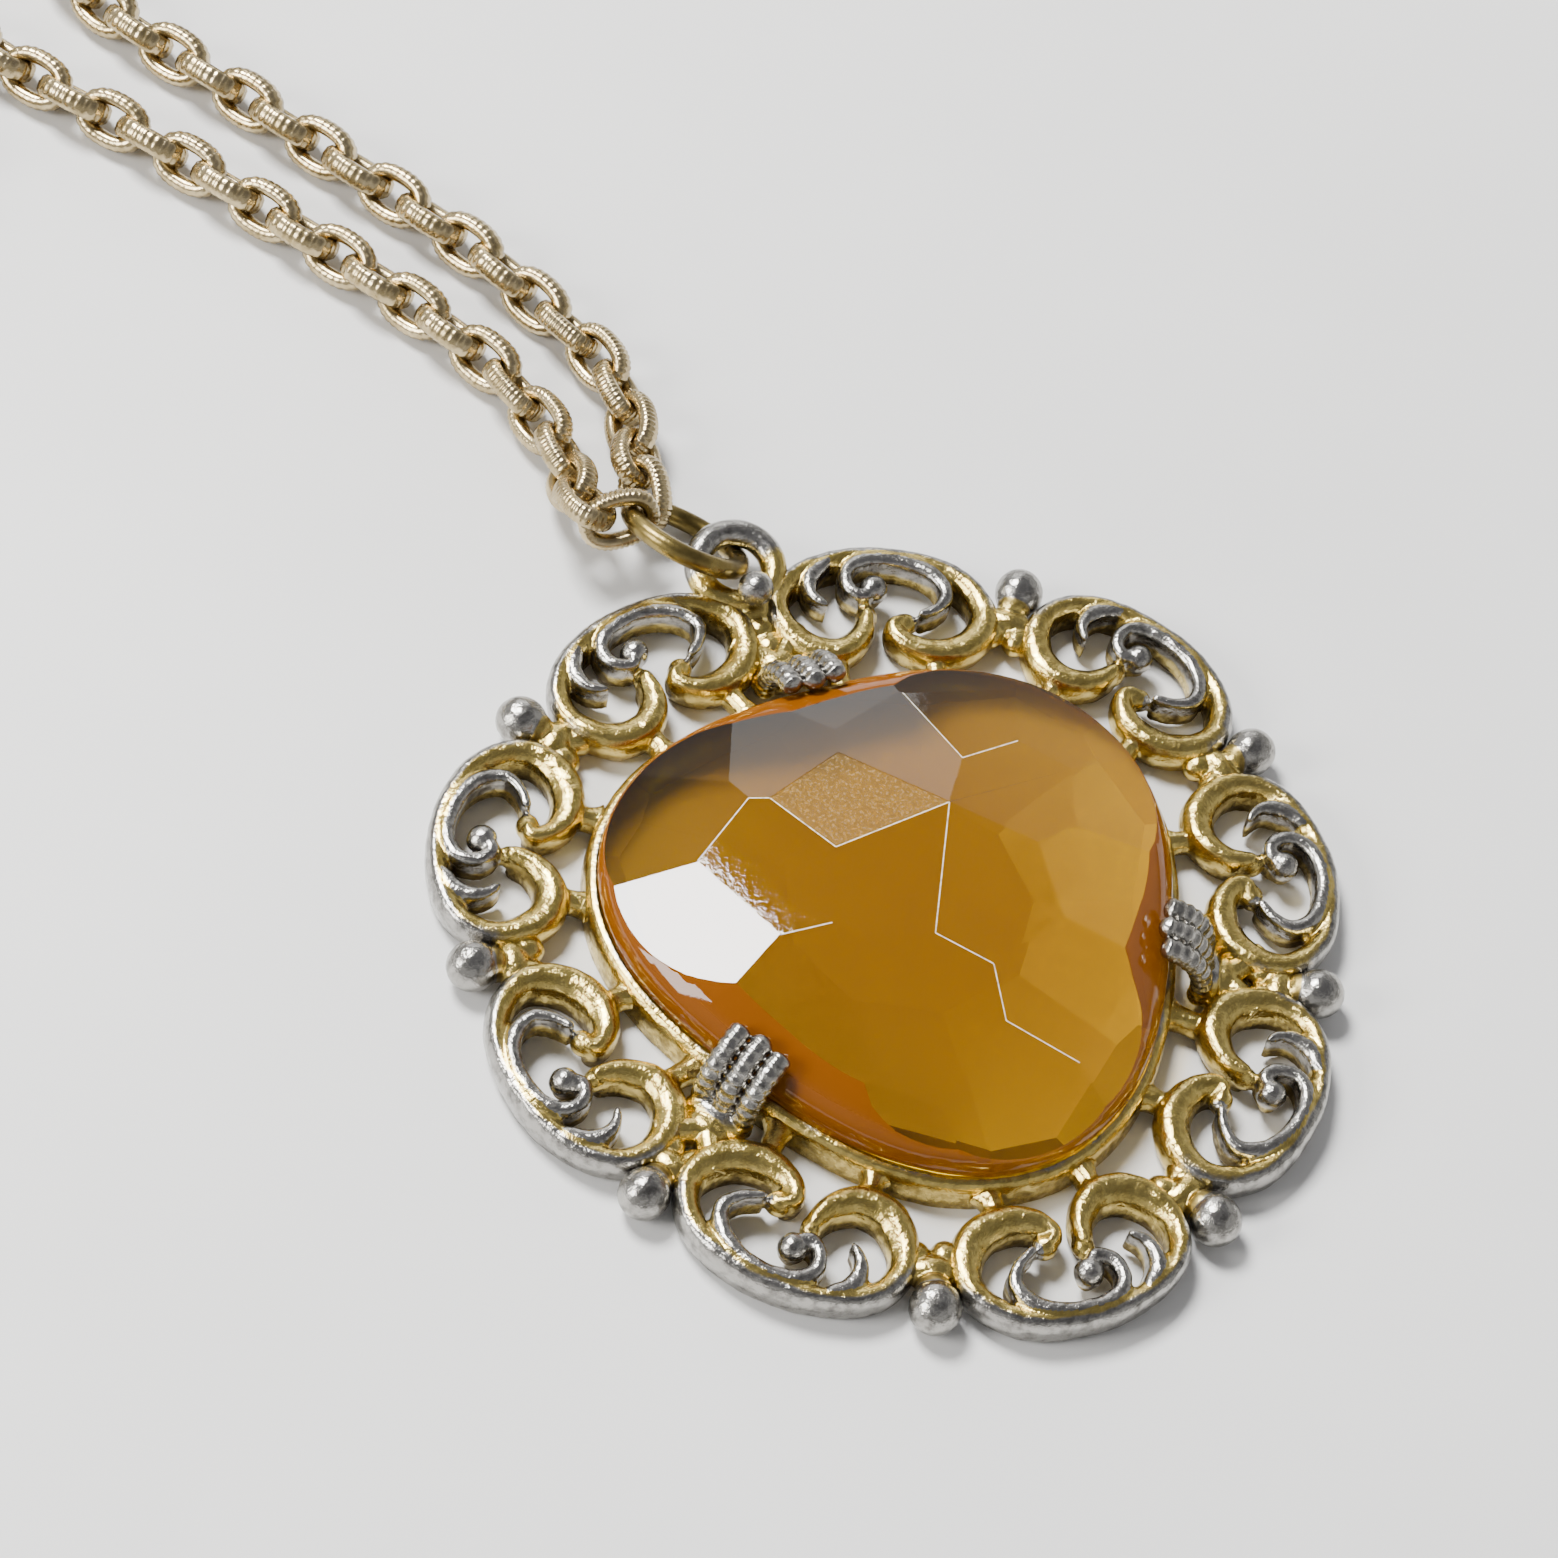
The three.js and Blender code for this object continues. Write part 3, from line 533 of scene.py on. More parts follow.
# %% Links along a route
def follow_tree():
    tree = bpy.data.node_groups.new("links along a route", "GeometryNodeTree")
    face = tree.interface
    face.new_socket("Route", in_out="INPUT", socket_type="NodeSocketGeometry")
    face.new_socket("Link", in_out="INPUT", socket_type="NodeSocketObject")
    face.new_socket("Pitch", in_out="INPUT", socket_type="NodeSocketFloat")
    face.new_socket("Lean", in_out="INPUT", socket_type="NodeSocketFloat")
    face.new_socket("Unevenness", in_out="INPUT", socket_type="NodeSocketFloat")
    face.new_socket("Seed", in_out="INPUT", socket_type="NodeSocketInt")
    face.new_socket("Wire", in_out="INPUT", socket_type="NodeSocketMaterial")
    face.new_socket("Chain", in_out="OUTPUT", socket_type="NodeSocketGeometry")
    link = tree.links.new
    given = node(tree, "NodeGroupInput")
    result = node(tree, "NodeGroupOutput")
    curve = node(tree, "GeometryNodeMeshToCurve")
    points = node(tree, "GeometryNodeCurveToPoints", mode="LENGTH")
    info = node(tree, "GeometryNodeObjectInfo")
    aim = node(tree, "FunctionNodeAlignRotationToVector", axis="X", pivot_axis="AUTO")
    index = node(tree, "GeometryNodeInputIndex")
    odd = node(tree, "ShaderNodeMath", operation="FLOORED_MODULO")
    odd.inputs[1].default_value = 2
    sign = node(tree, "ShaderNodeMath", operation="MULTIPLY_ADD")
    sign.inputs[1].default_value = -2
    sign.inputs[2].default_value = 1
    lean = node(tree, "ShaderNodeMath", operation="MULTIPLY")
    chance = node(tree, "FunctionNodeRandomValue", data_type="FLOAT")
    low = node(tree, "ShaderNodeMath", operation="MULTIPLY")
    low.inputs[1].default_value = -1
    total = node(tree, "ShaderNodeMath", operation="ADD")
    axis = node(tree, "FunctionNodeAxisAngleToRotation")
    axis.inputs["Axis"].default_value = (1, 0, 0)
    turn = node(tree, "FunctionNodeRotateRotation", rotation_space="LOCAL")
    set_on = node(tree, "GeometryNodeInstanceOnPoints")
    real = node(tree, "GeometryNodeRealizeInstances")
    paint = node(tree, "GeometryNodeSetMaterial")
    link(given.outputs["Route"], curve.inputs["Mesh"])
    link(curve.outputs["Curve"], points.inputs["Curve"])
    link(given.outputs["Pitch"], points.inputs["Length"])
    link(points.outputs["Tangent"], aim.inputs["Vector"])
    link(index.outputs["Index"], odd.inputs[0])
    link(odd.outputs[0], sign.inputs[0])
    link(sign.outputs[0], lean.inputs[0])
    link(given.outputs["Lean"], lean.inputs[1])
    link(given.outputs["Unevenness"], low.inputs[0])
    link(low.outputs[0], chance.inputs["Min"])
    link(given.outputs["Unevenness"], chance.inputs["Max"])
    link(given.outputs["Seed"], chance.inputs["Seed"])
    link(lean.outputs[0], total.inputs[0])
    link(chance.outputs["Value"], total.inputs[1])
    link(total.outputs[0], axis.inputs["Angle"])
    link(aim.outputs["Rotation"], turn.inputs["Rotation"])
    link(axis.outputs["Rotation"], turn.inputs["Rotate By"])
    link(given.outputs["Link"], info.inputs["Object"])
    link(points.outputs["Points"], set_on.inputs["Points"])
    link(info.outputs["Geometry"], set_on.inputs["Instance"])
    link(turn.outputs["Rotation"], set_on.inputs["Rotation"])
    link(set_on.outputs["Instances"], real.inputs["Geometry"])
    link(real.outputs["Geometry"], paint.inputs["Geometry"])
    link(given.outputs["Wire"], paint.inputs["Material"])
    link(paint.outputs["Geometry"], result.inputs["Chain"])
    return tree


def baked(name, base, tree, values, material):
    """The mesh that a node tree makes of a base mesh, as a piece of its own."""
    holder = bpy.data.objects.new(name + "_base", base)
    bpy.context.scene.collection.objects.link(holder)
    modifier = holder.modifiers.new("nodes", "NODES")
    modifier.node_group = tree
    sockets = {s.name: s.identifier for s in tree.interface.items_tree if s.in_out == "INPUT"}
    for key, value in values.items():
        modifier[sockets[key]] = value
    holder.update_tag()
    bpy.context.view_layer.update()
    view = holder.evaluated_get(bpy.context.evaluated_depsgraph_get())
    mesh = bpy.data.meshes.new_from_object(view)
    mesh.name = name
    holder.modifiers.clear()
    bpy.data.objects.remove(holder)
    return piece(name, mesh, material)


far_link_object = bpy.data.objects.new("link pattern", mesh_of("link pattern", *link_mesh(96, 10, 24, 0.52, 0.72)))
bpy.context.scene.collection.objects.link(far_link_object)
follow = follow_tree()
FIRST = LINK_REACH - 2 * LINK_WIRE - 0.08  # from the far bar of the last moving link to the next link's middle
LAST = {"left": 0.4, "right": 0.15}  # from the last link's middle to the route's end, where its ring begins
chains = {}
for side, line in lines.items():
    at = np.concatenate([[0], np.cumsum(np.linalg.norm(np.diff(line, axis=0), axis=1))])
    run = at[-1] - FIRST - LAST[side]
    count = math.ceil(run / LINK_PITCH)
    steps = FIRST + np.linspace(0, run, 12 * count + 1)
    path = np.stack([np.interp(steps, at, line[:, i]) for i in range(3)], axis=1)
    pitch = run / count * 0.9995
    base = bpy.data.meshes.new("route")
    base.from_pydata([tuple(p) for p in path], [(i, i + 1) for i in range(len(path) - 1)], [])
    chains[side] = baked(
        f"{side}_chain_links",
        base,
        follow,
        {
            "Link": far_link_object,
            "Pitch": pitch,
            "Lean": ROUTES[side]["lean"] * math.radians(45),
            "Unevenness": math.radians(7),
            "Seed": 7,
            "Wire": champagne,
        },
        champagne,
    )
    print(side, "links in one piece:", count + 1, "triangles:", 2 * len(chains[side].data.polygons))
bpy.data.objects.remove(far_link_object)
for side, obj in chains.items():
    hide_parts(f"{side}_chain_run", f"{side}_chain_coil", f"{side}_chain_tail")
    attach(obj, f"{side}_chain_end")

# %% [markdown]
# ## A scroll
# Each of the nine castings is the same: a heart-shaped outer band, a leaf that rolls up into a small bead,
# and a comma. Every one of them is a strip whose width swells and thins, so each is a sweep along a line with
# its own width at every point. A voxel remesh melts them into one body with soft corners, as in a casting.

# %% The strips of a scroll
BAND = [
    (-0.85, -0.35, 0.5), (-1.35, -1.9, 0.8), (-2.7, -3.05, 1.0), (-4.4, -2.95, 1.05), (-5.65, -1.8, 0.95),
    (-6.2, -0.3, 0.8), (-5.8, 1.35, 0.72), (-4.5, 2.65, 0.68), (-2.4, 3.45, 0.66), (0, 3.7, 0.66),
    (2.4, 3.4, 0.66), (4.5, 2.5, 0.7), (5.8, 1.1, 0.78), (6.25, -0.4, 0.88), (5.65, -1.9, 1.0),
    (4.3, -2.95, 1.05), (2.7, -3.15, 1.0), (1.25, -2.55, 0.8), (0.65, -1.55, 0.6), (1.2, -1.05, 0.4),
]  # x, y, half width
LEAF = [
    (-0.3, 1.25, 0.5), (-1.05, 0.55, 0.45), (-1.85, 1.1, 0.45), (-1.95, 2.2, 0.45), (-1.15, 3.05, 0.5),
    (0.5, 3.35, 0.55), (2.4, 2.9, 0.55), (3.7, 1.8, 0.5), (4.0, 0.6, 0.45), (3.3, -0.35, 0.35), (2.1, -0.95, 0.3),
]
COMMA = [(-3.0, 3.2, 0.5), (-3.95, 2.35, 0.6), (-4.25, 1.3, 0.5), (-4.0, 0.45, 0.35), (-3.3, -0.2, 0.2)]
BAND_TOP, LEAF_TOP, LEAF_LOW = 2.35, 2.5, 0.45
BULGE = [
    (0.55, 0, 0.0), (0.84, 0.2, 0.0), (1.0, 0.46, 0.0), (1.0, 1, -0.85), (0.9, 1, -0.42), (0.66, 1, -0.12),
    (0.3, 1, 0.0), (-0.1, 1, -0.02), (-0.5, 1, -0.17), (-0.82, 1, -0.46), (-0.98, 1, -0.9), (-1.0, 0.3, 0.0),
    (-0.85, 0, 0.0),
]  # across in half widths from the outer edge in, a share of the height, and millimetres down from there
CROWN = [
    (0.85, 0, 0.0), (1.0, 0.4, 0.0), (0.97, 1, -0.6), (0.82, 1, -0.25), (0.45, 1, -0.05), (0.0, 1, 0.0),
    (-0.45, 1, -0.05), (-0.82, 1, -0.25), (-0.97, 1, -0.6), (-1.0, 0.4, 0.0), (-0.85, 0, 0.0),
]


def strip(knots, low, top, profile):
    knots = np.array(knots)
    line = smooth_line(knots, 0.12)
    centre = np.column_stack([line[:, :2], np.zeros(len(line))])
    along = tangents(centre)
    sides = np.column_stack([-along[:, 1], along[:, 0], np.zeros(len(line))])
    ups = np.tile([0.0, 0.0, 1.0], (len(line), 1))
    far = np.linspace(0, 1, len(line))
    ends = np.minimum(far, 1 - far) * (len(line) - 1) * 0.12
    half = line[:, 2] * np.sqrt(np.clip(1 - (1 - np.clip(ends / 0.45, 0, 1)) ** 2, 0.06, 1))

    def section(i):
        down = np.clip(half[i] / 0.7, 0.35, 1.15)
        rows = []
        for across, share, depth in profile:
            rows.append((across * half[i], low + (top - low) * share + depth * down))
        return rows

    return sweep(centre, sides, ups, section), line


def master_scroll():
    band, band_line = strip(BAND, 0.0, BAND_TOP, BULGE)
    leaf, leaf_line = strip(LEAF, LEAF_LOW, LEAF_TOP, CROWN)
    comma, comma_line = strip(COMMA, LEAF_LOW, LEAF_TOP - 0.1, CROWN)
    roll = ball((LEAF[0][0], LEAF[0][1], LEAF_TOP - 0.75), (0.88, 0.88, 0.9))
    stem = ball((LEAF[0][0], LEAF[0][1], 1.1), (0.62, 0.62, 0.8))
    toe = ball((1.35, -1.1, 1.45), (0.8, 0.7, 0.75))
    heel = ball((-0.85, -0.5, 1.35), (0.66, 0.8, 0.75))
    join = ball((-1.6, 3.2, 1.7), (1.0, 0.6, 0.55))
    return joined([band, leaf, comma, roll, stem, toe, heel, join]), (band_line, leaf_line, comma_line)


scroll_parts, scroll_lines = master_scroll()
print("a scroll's strips:", len(scroll_parts[1]), "faces before the melt")

# %% [markdown]
# Casting softens every corner. The melt is a Remesh modifier with small voxels and a light Smooth, both baked
# into the mesh. Then rays from each point towards the open find how closed in it is, and there the colour turns
# dark brown: the antiquing, and painted shade as well. A second attribute says which faces are worn to silver.

# %% The melt
VOXEL = 0.115


def melted(name, part, voxel=VOXEL, soften=3):
    holder = bpy.data.objects.new(name, outward(mesh_of(name, *part)))
    bpy.context.scene.collection.objects.link(holder)
    remesh = holder.modifiers.new("melt", "REMESH")
    remesh.mode = "VOXEL"
    remesh.voxel_size = voxel
    smooth = holder.modifiers.new("soften", "SMOOTH")
    smooth.factor = 0.5
    smooth.iterations = soften
    bpy.context.view_layer.update()
    view = holder.evaluated_get(bpy.context.evaluated_depsgraph_get())
    mesh = bpy.data.meshes.new_from_object(view)
    holder.modifiers.clear()
    bpy.data.objects.remove(holder)
    mesh.name = name
    return mesh


def points_of(mesh):
    flat = np.empty(len(mesh.vertices) * 3)
    mesh.vertices.foreach_get("co", flat)
    return flat.reshape(-1, 3)


def normals_of(mesh):
    flat = np.empty(len(mesh.vertices) * 3)
    mesh.vertex_normals.foreach_get("vector", flat)
    return flat.reshape(-1, 3)


SKY = [
    Vector((math.cos(b) * math.cos(e), math.sin(b) * math.cos(e), math.sin(e)))
    for e, turns in ((math.radians(8), 8), (math.radians(38), 6), (math.radians(70), 3))
    for b in (2 * math.pi * k / turns + e for k in range(turns))
]


def closed_in(mesh, reach=2.6):
    """How closed in each point is, from 0 in the open to 1 in a deep recess."""
    tree = BVHTree.FromPolygons([v.co for v in mesh.vertices], [p.vertices for p in mesh.polygons])
    share = np.zeros(len(mesh.vertices))
    for i, (v, n) in enumerate(zip(mesh.vertices, mesh.vertex_normals)):
        normal = n.vector
        start = v.co + normal * 0.06
        hits = 0
        seen = 0
        for ray in SKY:
            facing = ray.dot(normal)
            if facing > 0.05:
                seen += 1
                if tree.ray_cast(start, ray, reach)[0] is not None:
                    hits += 1
        share[i] = hits / seen if seen else 0.7
    return share


def set_attribute(mesh, name, values):
    layer = mesh.attributes.new(name, "FLOAT", "POINT")
    layer.data.foreach_set("value", np.clip(values, 0, 1).astype(np.float32))


def uneven(mesh, seed, broad=0.10, fine=0.035):
    """The small unevenness of a hand-finished casting."""
    for v in mesh.vertices:
        p = v.co * 0.28 + Vector((seed, 0, 0))
        q = v.co * 1.5 + Vector((0, seed, 0))
        v.co += noise.noise_vector(p) * broad + noise.noise_vector(q) * fine
        v.co.z = max(v.co.z, 0)
    mesh.update()


# %% The nine scrolls
STEP = 2 * math.pi / 9
TOP, CORNER = math.pi / 2, math.pi / 6
SCROLL_RADIUS, SCROLL_PUSH, BEAD_RING, BEAD_DIP = 21.75, 1.35, 25.0, 0.9
STUBS = (-2.9, 2.9)


def polar(radius, angle):
    return np.array([radius * math.cos(angle), radius * math.sin(angle)])


def rounded_triangle(radius, wave, angle):
    return radius + wave * math.cos(3 * (angle - CORNER))


def bead_place(k):
    return polar(BEAD_RING - (BEAD_DIP if k % 3 == 0 else 0), TOP - k * STEP)


def scroll_axes(k):
    clockwise = bead_place(k) - bead_place(k - 1)
    clockwise /= np.linalg.norm(clockwise)
    outwards = np.array([-clockwise[1], clockwise[0]])
    angle = TOP - (k - 0.5) * STEP
    push = SCROLL_PUSH * max(0, math.cos(3 * (angle - CORNER)))
    return clockwise, outwards, polar(SCROLL_RADIUS + push, angle)


def stub(axes, x):
    """A short bar from a scroll's lobe to the rim, thicker at both ends."""
    clockwise, outwards, middle = axes
    y = -4.0
    for _ in range(20):
        at = middle + clockwise * x + outwards * y
        rim_there = rounded_triangle(RIM_RADIUS + 0.2, RIM_WAVE, math.atan2(at[1], at[0]))
        y += rim_there - np.linalg.norm(at)
    line = np.array([[x, y + (-3.0 - y) * i / 8, 1.05] for i in range(9)])
    sides = np.tile([1.0, 0, 0], (9, 1))
    ups = np.tile([0, 0, 1.0], (9, 1))

    def section(i):
        flare = 1 + 0.75 * (abs(i - 4) / 4) ** 3
        return [(a * 0.7 * flare, b * 0.82) for a, b in circle(1, 12)]

    return sweep(line, sides, ups, section)


def near_line(points, line):
    """For each point, its distance from a strip's line in half widths, the side it is on, and how far along."""
    flat = line[:, :2]
    gap = np.linalg.norm(points[:, None, :2] - flat[None], axis=2)
    nearest = gap.argmin(axis=1)
    along = tangents(np.column_stack([flat, np.zeros(len(flat))]))[:, :2]
    offset = points[:, :2] - flat[nearest]
    side = along[nearest, 0] * offset[:, 1] - along[nearest, 1] * offset[:, 0]
    return gap.min(axis=1) / line[nearest, 2], side / line[nearest, 2], nearest / (len(flat) - 1)


def scroll_silver(points):
    """Which points are worn to silver: the leaf, the comma, and the outer edge of the band's arch."""
    band, leaf, comma = (near_line(points, line) for line in scroll_lines)
    height = points[:, 2]
    arch = np.exp(-(((band[2] - 0.5) / 0.27) ** 4))
    outer = np.clip((band[1] + 0.1) * 1.3, 0, 1)
    silver = 0.12 + 0.80 * arch * outer + 0.08 * arch
    inner = np.minimum(leaf[0], comma[0])
    on_leaf = (inner < band[0]) | (np.linalg.norm(points[:, :2] - np.array(LEAF[0][:2]), axis=1) < 1.0)
    rise = np.clip((height - 1.1) / 0.9, 0, 1)
    return np.where(on_leaf, 0.22 + 0.70 * rise, silver)


for k in range(1, 10):
    name = f"scroll_{k}"
    axes = scroll_axes(k)
    parts = [scroll_parts] + [stub(axes, x) for x in STUBS]
    mesh = melted(name, joined(parts))
    shade = closed_in(mesh)
    flat = points_of(mesh)
    set_attribute(mesh, "silver", scroll_silver(flat))
    # Painted shade with the antiquing: darker where closed in, and darker low down on faces that do not face up.
    low = np.clip(1 - flat[:, 2] / 1.9, 0, 1)
    facing = normals_of(mesh)[:, 2]
    set_attribute(mesh, "recess", 0.85 * shade + 0.6 * low * (facing < 0.6))
    clockwise, outwards, middle = axes
    turned = np.column_stack(
        [
            middle[0] + flat[:, 0] * clockwise[0] + flat[:, 1] * outwards[0],
            middle[1] + flat[:, 0] * clockwise[1] + flat[:, 1] * outwards[1],
            flat[:, 2],
        ]
    )
    mesh.vertices.foreach_set("co", turned.ravel())
    uneven(mesh, k)
    obj = piece(name + "_casting", mesh, cast)
    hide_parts(name)
    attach(obj, "pendant")
print("a scroll after the melt:", len(mesh.polygons), "faces")

# %% [markdown]
# ## Beads, rim and bail
# Between two scrolls a drop-shaped silver bead stands on a gold saddle that ties the scrolls together. The
# rim is a narrow band round the stone. The bail is a thick cast ring with a bead at its foot.

# %% The eight beads
for k in range(1, 9):
    name = f"bead_{k}"
    angle = TOP - k * STEP
    out = BEAD_RING - (BEAD_DIP if k % 3 == 0 else 0)
    saddle = [
        ball((0, out - 2.3, 1.15), (1.7, 1.0, 0.95)),
        ball((0, out - 1.35, 1.2), (0.95, 0.9, 0.9)),
        ball((0.8, out - 3.2, 1.05), (0.9, 1.1, 0.85)),
        ball((-0.8, out - 3.2, 1.05), (0.9, 1.1, 0.85)),
    ]
    drop = [ball((0, out, 1.5), (1.47, 1.52, 1.47)), ball((0, out - 0.85, 1.45), (1.05, 1.2, 1.1))]
    mesh = melted(name, joined(saddle + drop), 0.1, 4)
    flat = points_of(mesh)
    shade = closed_in(mesh)
    set_attribute(mesh, "silver", 0.1 + 0.9 * np.clip((flat[:, 1] - out + 1.35) / 0.4, 0, 1))
    # Painted shade with the antiquing: darker where closed in, and in a band where the bead meets its saddle.
    set_attribute(mesh, "recess", 0.9 * shade + 0.75 * np.exp(-(((flat[:, 1] - out + 1.35) / 0.35) ** 2)))
    turn = angle - TOP
    c, s = math.cos(turn), math.sin(turn)
    turned = np.column_stack([c * flat[:, 0] - s * flat[:, 1], s * flat[:, 0] + c * flat[:, 1], flat[:, 2]])
    mesh.vertices.foreach_set("co", turned.ravel())
    uneven(mesh, 20 + k, 0.08, 0.015)
    obj = piece(name + "_drop", mesh, bead_metal)
    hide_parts(name)
    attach(obj, "pendant")
print("a bead:", len(mesh.polygons), "faces")

# %% The rim
RIM_PROFILE = [
    (-0.5, 0.0), (-0.5, 1.95), (-0.42, 2.12), (-0.2, 2.2), (0.12, 2.12), (0.36, 1.85), (0.46, 1.4), (0.5, 0.7), (0.5, 0.0),
]
RIM_STEPS = 300
line = np.array(
    [
        (*polar(rounded_triangle(RIM_RADIUS, RIM_WAVE, a), a), 0.0)
        for a in np.linspace(0, 2 * math.pi, RIM_STEPS, endpoint=False)
    ]
)
along = tangents(line, True)
sides = np.column_stack([along[:, 1], -along[:, 0], np.zeros(len(line))])
ups = np.tile([0.0, 0.0, 1.0], (len(line), 1))
mesh = outward(mesh_of("rim", *sweep(line, sides, ups, lambda i: RIM_PROFILE, True)))
flat = points_of(mesh)
set_attribute(mesh, "silver", 0.22 + 0.35 * (flat[:, 2] > 2.15))
# Painted shade: the rim's wall is darker below 1.5 mm than at its top.
set_attribute(mesh, "recess", 0.55 - 0.5 * (flat[:, 2] > 1.5))
uneven(mesh, 40, 0.07, 0.03)
rim = piece("rim_band", mesh, cast)
bevel = rim.modifiers.new("soft corners", "BEVEL")
bevel.width = 0.00006
bevel.segments = 2
bevel.limit_method = "ANGLE"
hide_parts("rim")
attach(rim, "pendant")

# %% The bail
BAIL_RING, BAIL_WIRE, BAIL_TILT = 2.35, 0.82, math.radians(10)
BAIL_CENTRE = np.array([0, 25.4, 2.2])
line, sides, ups = [], [], []
for i in range(72):
    a = 2 * math.pi * i / 72
    outer = np.array([math.cos(a), math.sin(a) * math.cos(BAIL_TILT), math.sin(a) * math.sin(BAIL_TILT)])
    line.append(BAIL_CENTRE + BAIL_RING * outer)
    sides.append(outer)
    ups.append(np.array([0, -math.sin(BAIL_TILT), math.cos(BAIL_TILT)]))
ring = sweep(np.array(line), np.array(sides), np.array(ups), lambda i: circle(BAIL_WIRE, 20), True)
neck = [
    ball((0, 22.4, 1.35), (1.5, 0.95, 0.95)),
    ball((0, 21.3, 1.15), (1.15, 1.2, 0.95)),
    ball((0, 20.0, 1.1), (1.05, 1.3, 0.9)),
    ball((-1.5, 23.2, 1.45), (0.85, 0.95, 0.85)),
    ball((1.5, 23.2, 1.45), (0.85, 0.95, 0.85)),
]
mesh = melted("bail", joined([ring] + neck), 0.1, 3)
flat = points_of(mesh)
shade = closed_in(mesh)
set_attribute(mesh, "silver", 0.05 + 0.95 * np.clip((flat[:, 1] - 24.6) / 1.6, 0, 1))
# Painted shade with the antiquing: darker where closed in and towards the bottom.
set_attribute(mesh, "recess", 0.75 * shade + 0.25 * np.clip(1 - flat[:, 2] / 1.6, 0, 1))
uneven(mesh, 50, 0.08, 0.015)
obj = piece("bail_casting", mesh, bead_metal)
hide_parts("bail_loop")
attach(obj, "pendant")

low, high = (np.array(v) / MM - np.array(MIDDLE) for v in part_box("bail_bead"))
mesh = melted("bail bead", ball((low + high) / 2 + np.array([0, 0, -0.12]), (1.08, 1.08, 1.05), 20, 28), 0.08, 2)
set_attribute(mesh, "silver", np.full(len(mesh.vertices), 0.9))
# Painted shade: darker towards the bottom.
set_attribute(mesh, "recess", 0.5 - points_of(mesh)[:, 2] / 8)
uneven(mesh, 51, 0.06, 0.015)
obj = piece("bail_bead_drop", mesh, bead_metal)
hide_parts("bail_bead")
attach(obj, "pendant")

# %% [markdown]
# ## The claws
# Each claw is three cords side by side that rise outside the rim and bend in over the stone. Rows of tiny
# grains run along them, so a cord's own radius swells and shrinks along its length. A gold foot with two
# short legs ties the claw to the scrolls on both sides.

# %% Three claws
CLAW_LINE = [(17.25, 0.6), (17.2, 2.2), (16.75, 3.65), (15.7, 4.75), (14.0, 5.45)]
CORD = 0.66
GRAIN = 0.6


def cord_of_claw(offset, short):
    line = smooth_line([(0, r, z) for r, z in CLAW_LINE], 0.06)
    line = line[: len(line) - round(short / 0.06)]
    along = tangents(line)
    sides = np.tile([1.0, 0.0, 0.0], (len(line), 1))
    ups = np.cross(sides, along)
    line = line + sides * offset
    last = len(line) - 1

    def section(i):
        far = min(i, last - i) * 0.06
        round_end = math.sqrt(max(0.03, 1 - (1 - min(far / 0.5, 1)) ** 2))
        size = CORD * round_end * (0.95 + 0.06 * math.cos(2 * math.pi * i * 0.06 / GRAIN))
        return [(a * size * 1.04, b * size) for a, b in circle(1, 16)]

    return sweep(line, sides, ups, section)


def leg(a, b, radius):
    line = np.array([np.array(a) + (np.array(b) - np.array(a)) * i / 6 for i in range(7)])
    along = tangents(line)
    ups = np.tile([0.0, 0.0, 1.0], (7, 1))
    sides = np.cross(along, ups)
    return sweep(line, sides, ups, lambda i: [(p * radius, q * radius * 1.2) for p, q in circle(1, 12)])


for name, angle in (("claw_top", TOP), ("claw_left", TOP + 3 * STEP), ("claw_right", TOP + 6 * STEP)):
    cords = [cord_of_claw(-1.38, 0.25), cord_of_claw(0, 0), cord_of_claw(1.38, 0.25)]
    foot = [
        ball((0, 17.75, 1.2), (2.1, 0.85, 1.15)),
        ball((0, 18.6, 1.15), (1.5, 1.05, 1.0)),
        leg((0, 18.6, 1.1), (2.1, 20.7, 1.1), 0.82),
        leg((0, 18.6, 1.1), (-2.1, 20.7, 1.1), 0.82),
    ]
    mesh = melted(name, joined(cords + foot), 0.085, 1)
    flat = points_of(mesh)
    shade = closed_in(mesh, 1.6)
    set_attribute(mesh, "silver", 0.02 + 0.98 * np.clip((flat[:, 2] - 1.9) / 0.5, 0, 1) * (flat[:, 1] < 18.2))
    # Painted shade with the antiquing: darker where closed in, between the cords, and towards the bottom.
    set_attribute(mesh, "recess", 1.1 * shade + 0.2 * np.clip(1 - flat[:, 2] / 1.6, 0, 1))
    c, s = math.cos(angle - TOP), math.sin(angle - TOP)
    turned = np.column_stack([c * flat[:, 0] - s * flat[:, 1], s * flat[:, 0] + c * flat[:, 1], flat[:, 2]])
    mesh.vertices.foreach_set("co", turned.ravel())
    uneven(mesh, 60 + angle, 0.05, 0.015)
    obj = piece(name + "_cords", mesh, bead_metal)
    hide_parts(name)
    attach(obj, "pendant")
print("a claw:", len(mesh.polygons), "faces")
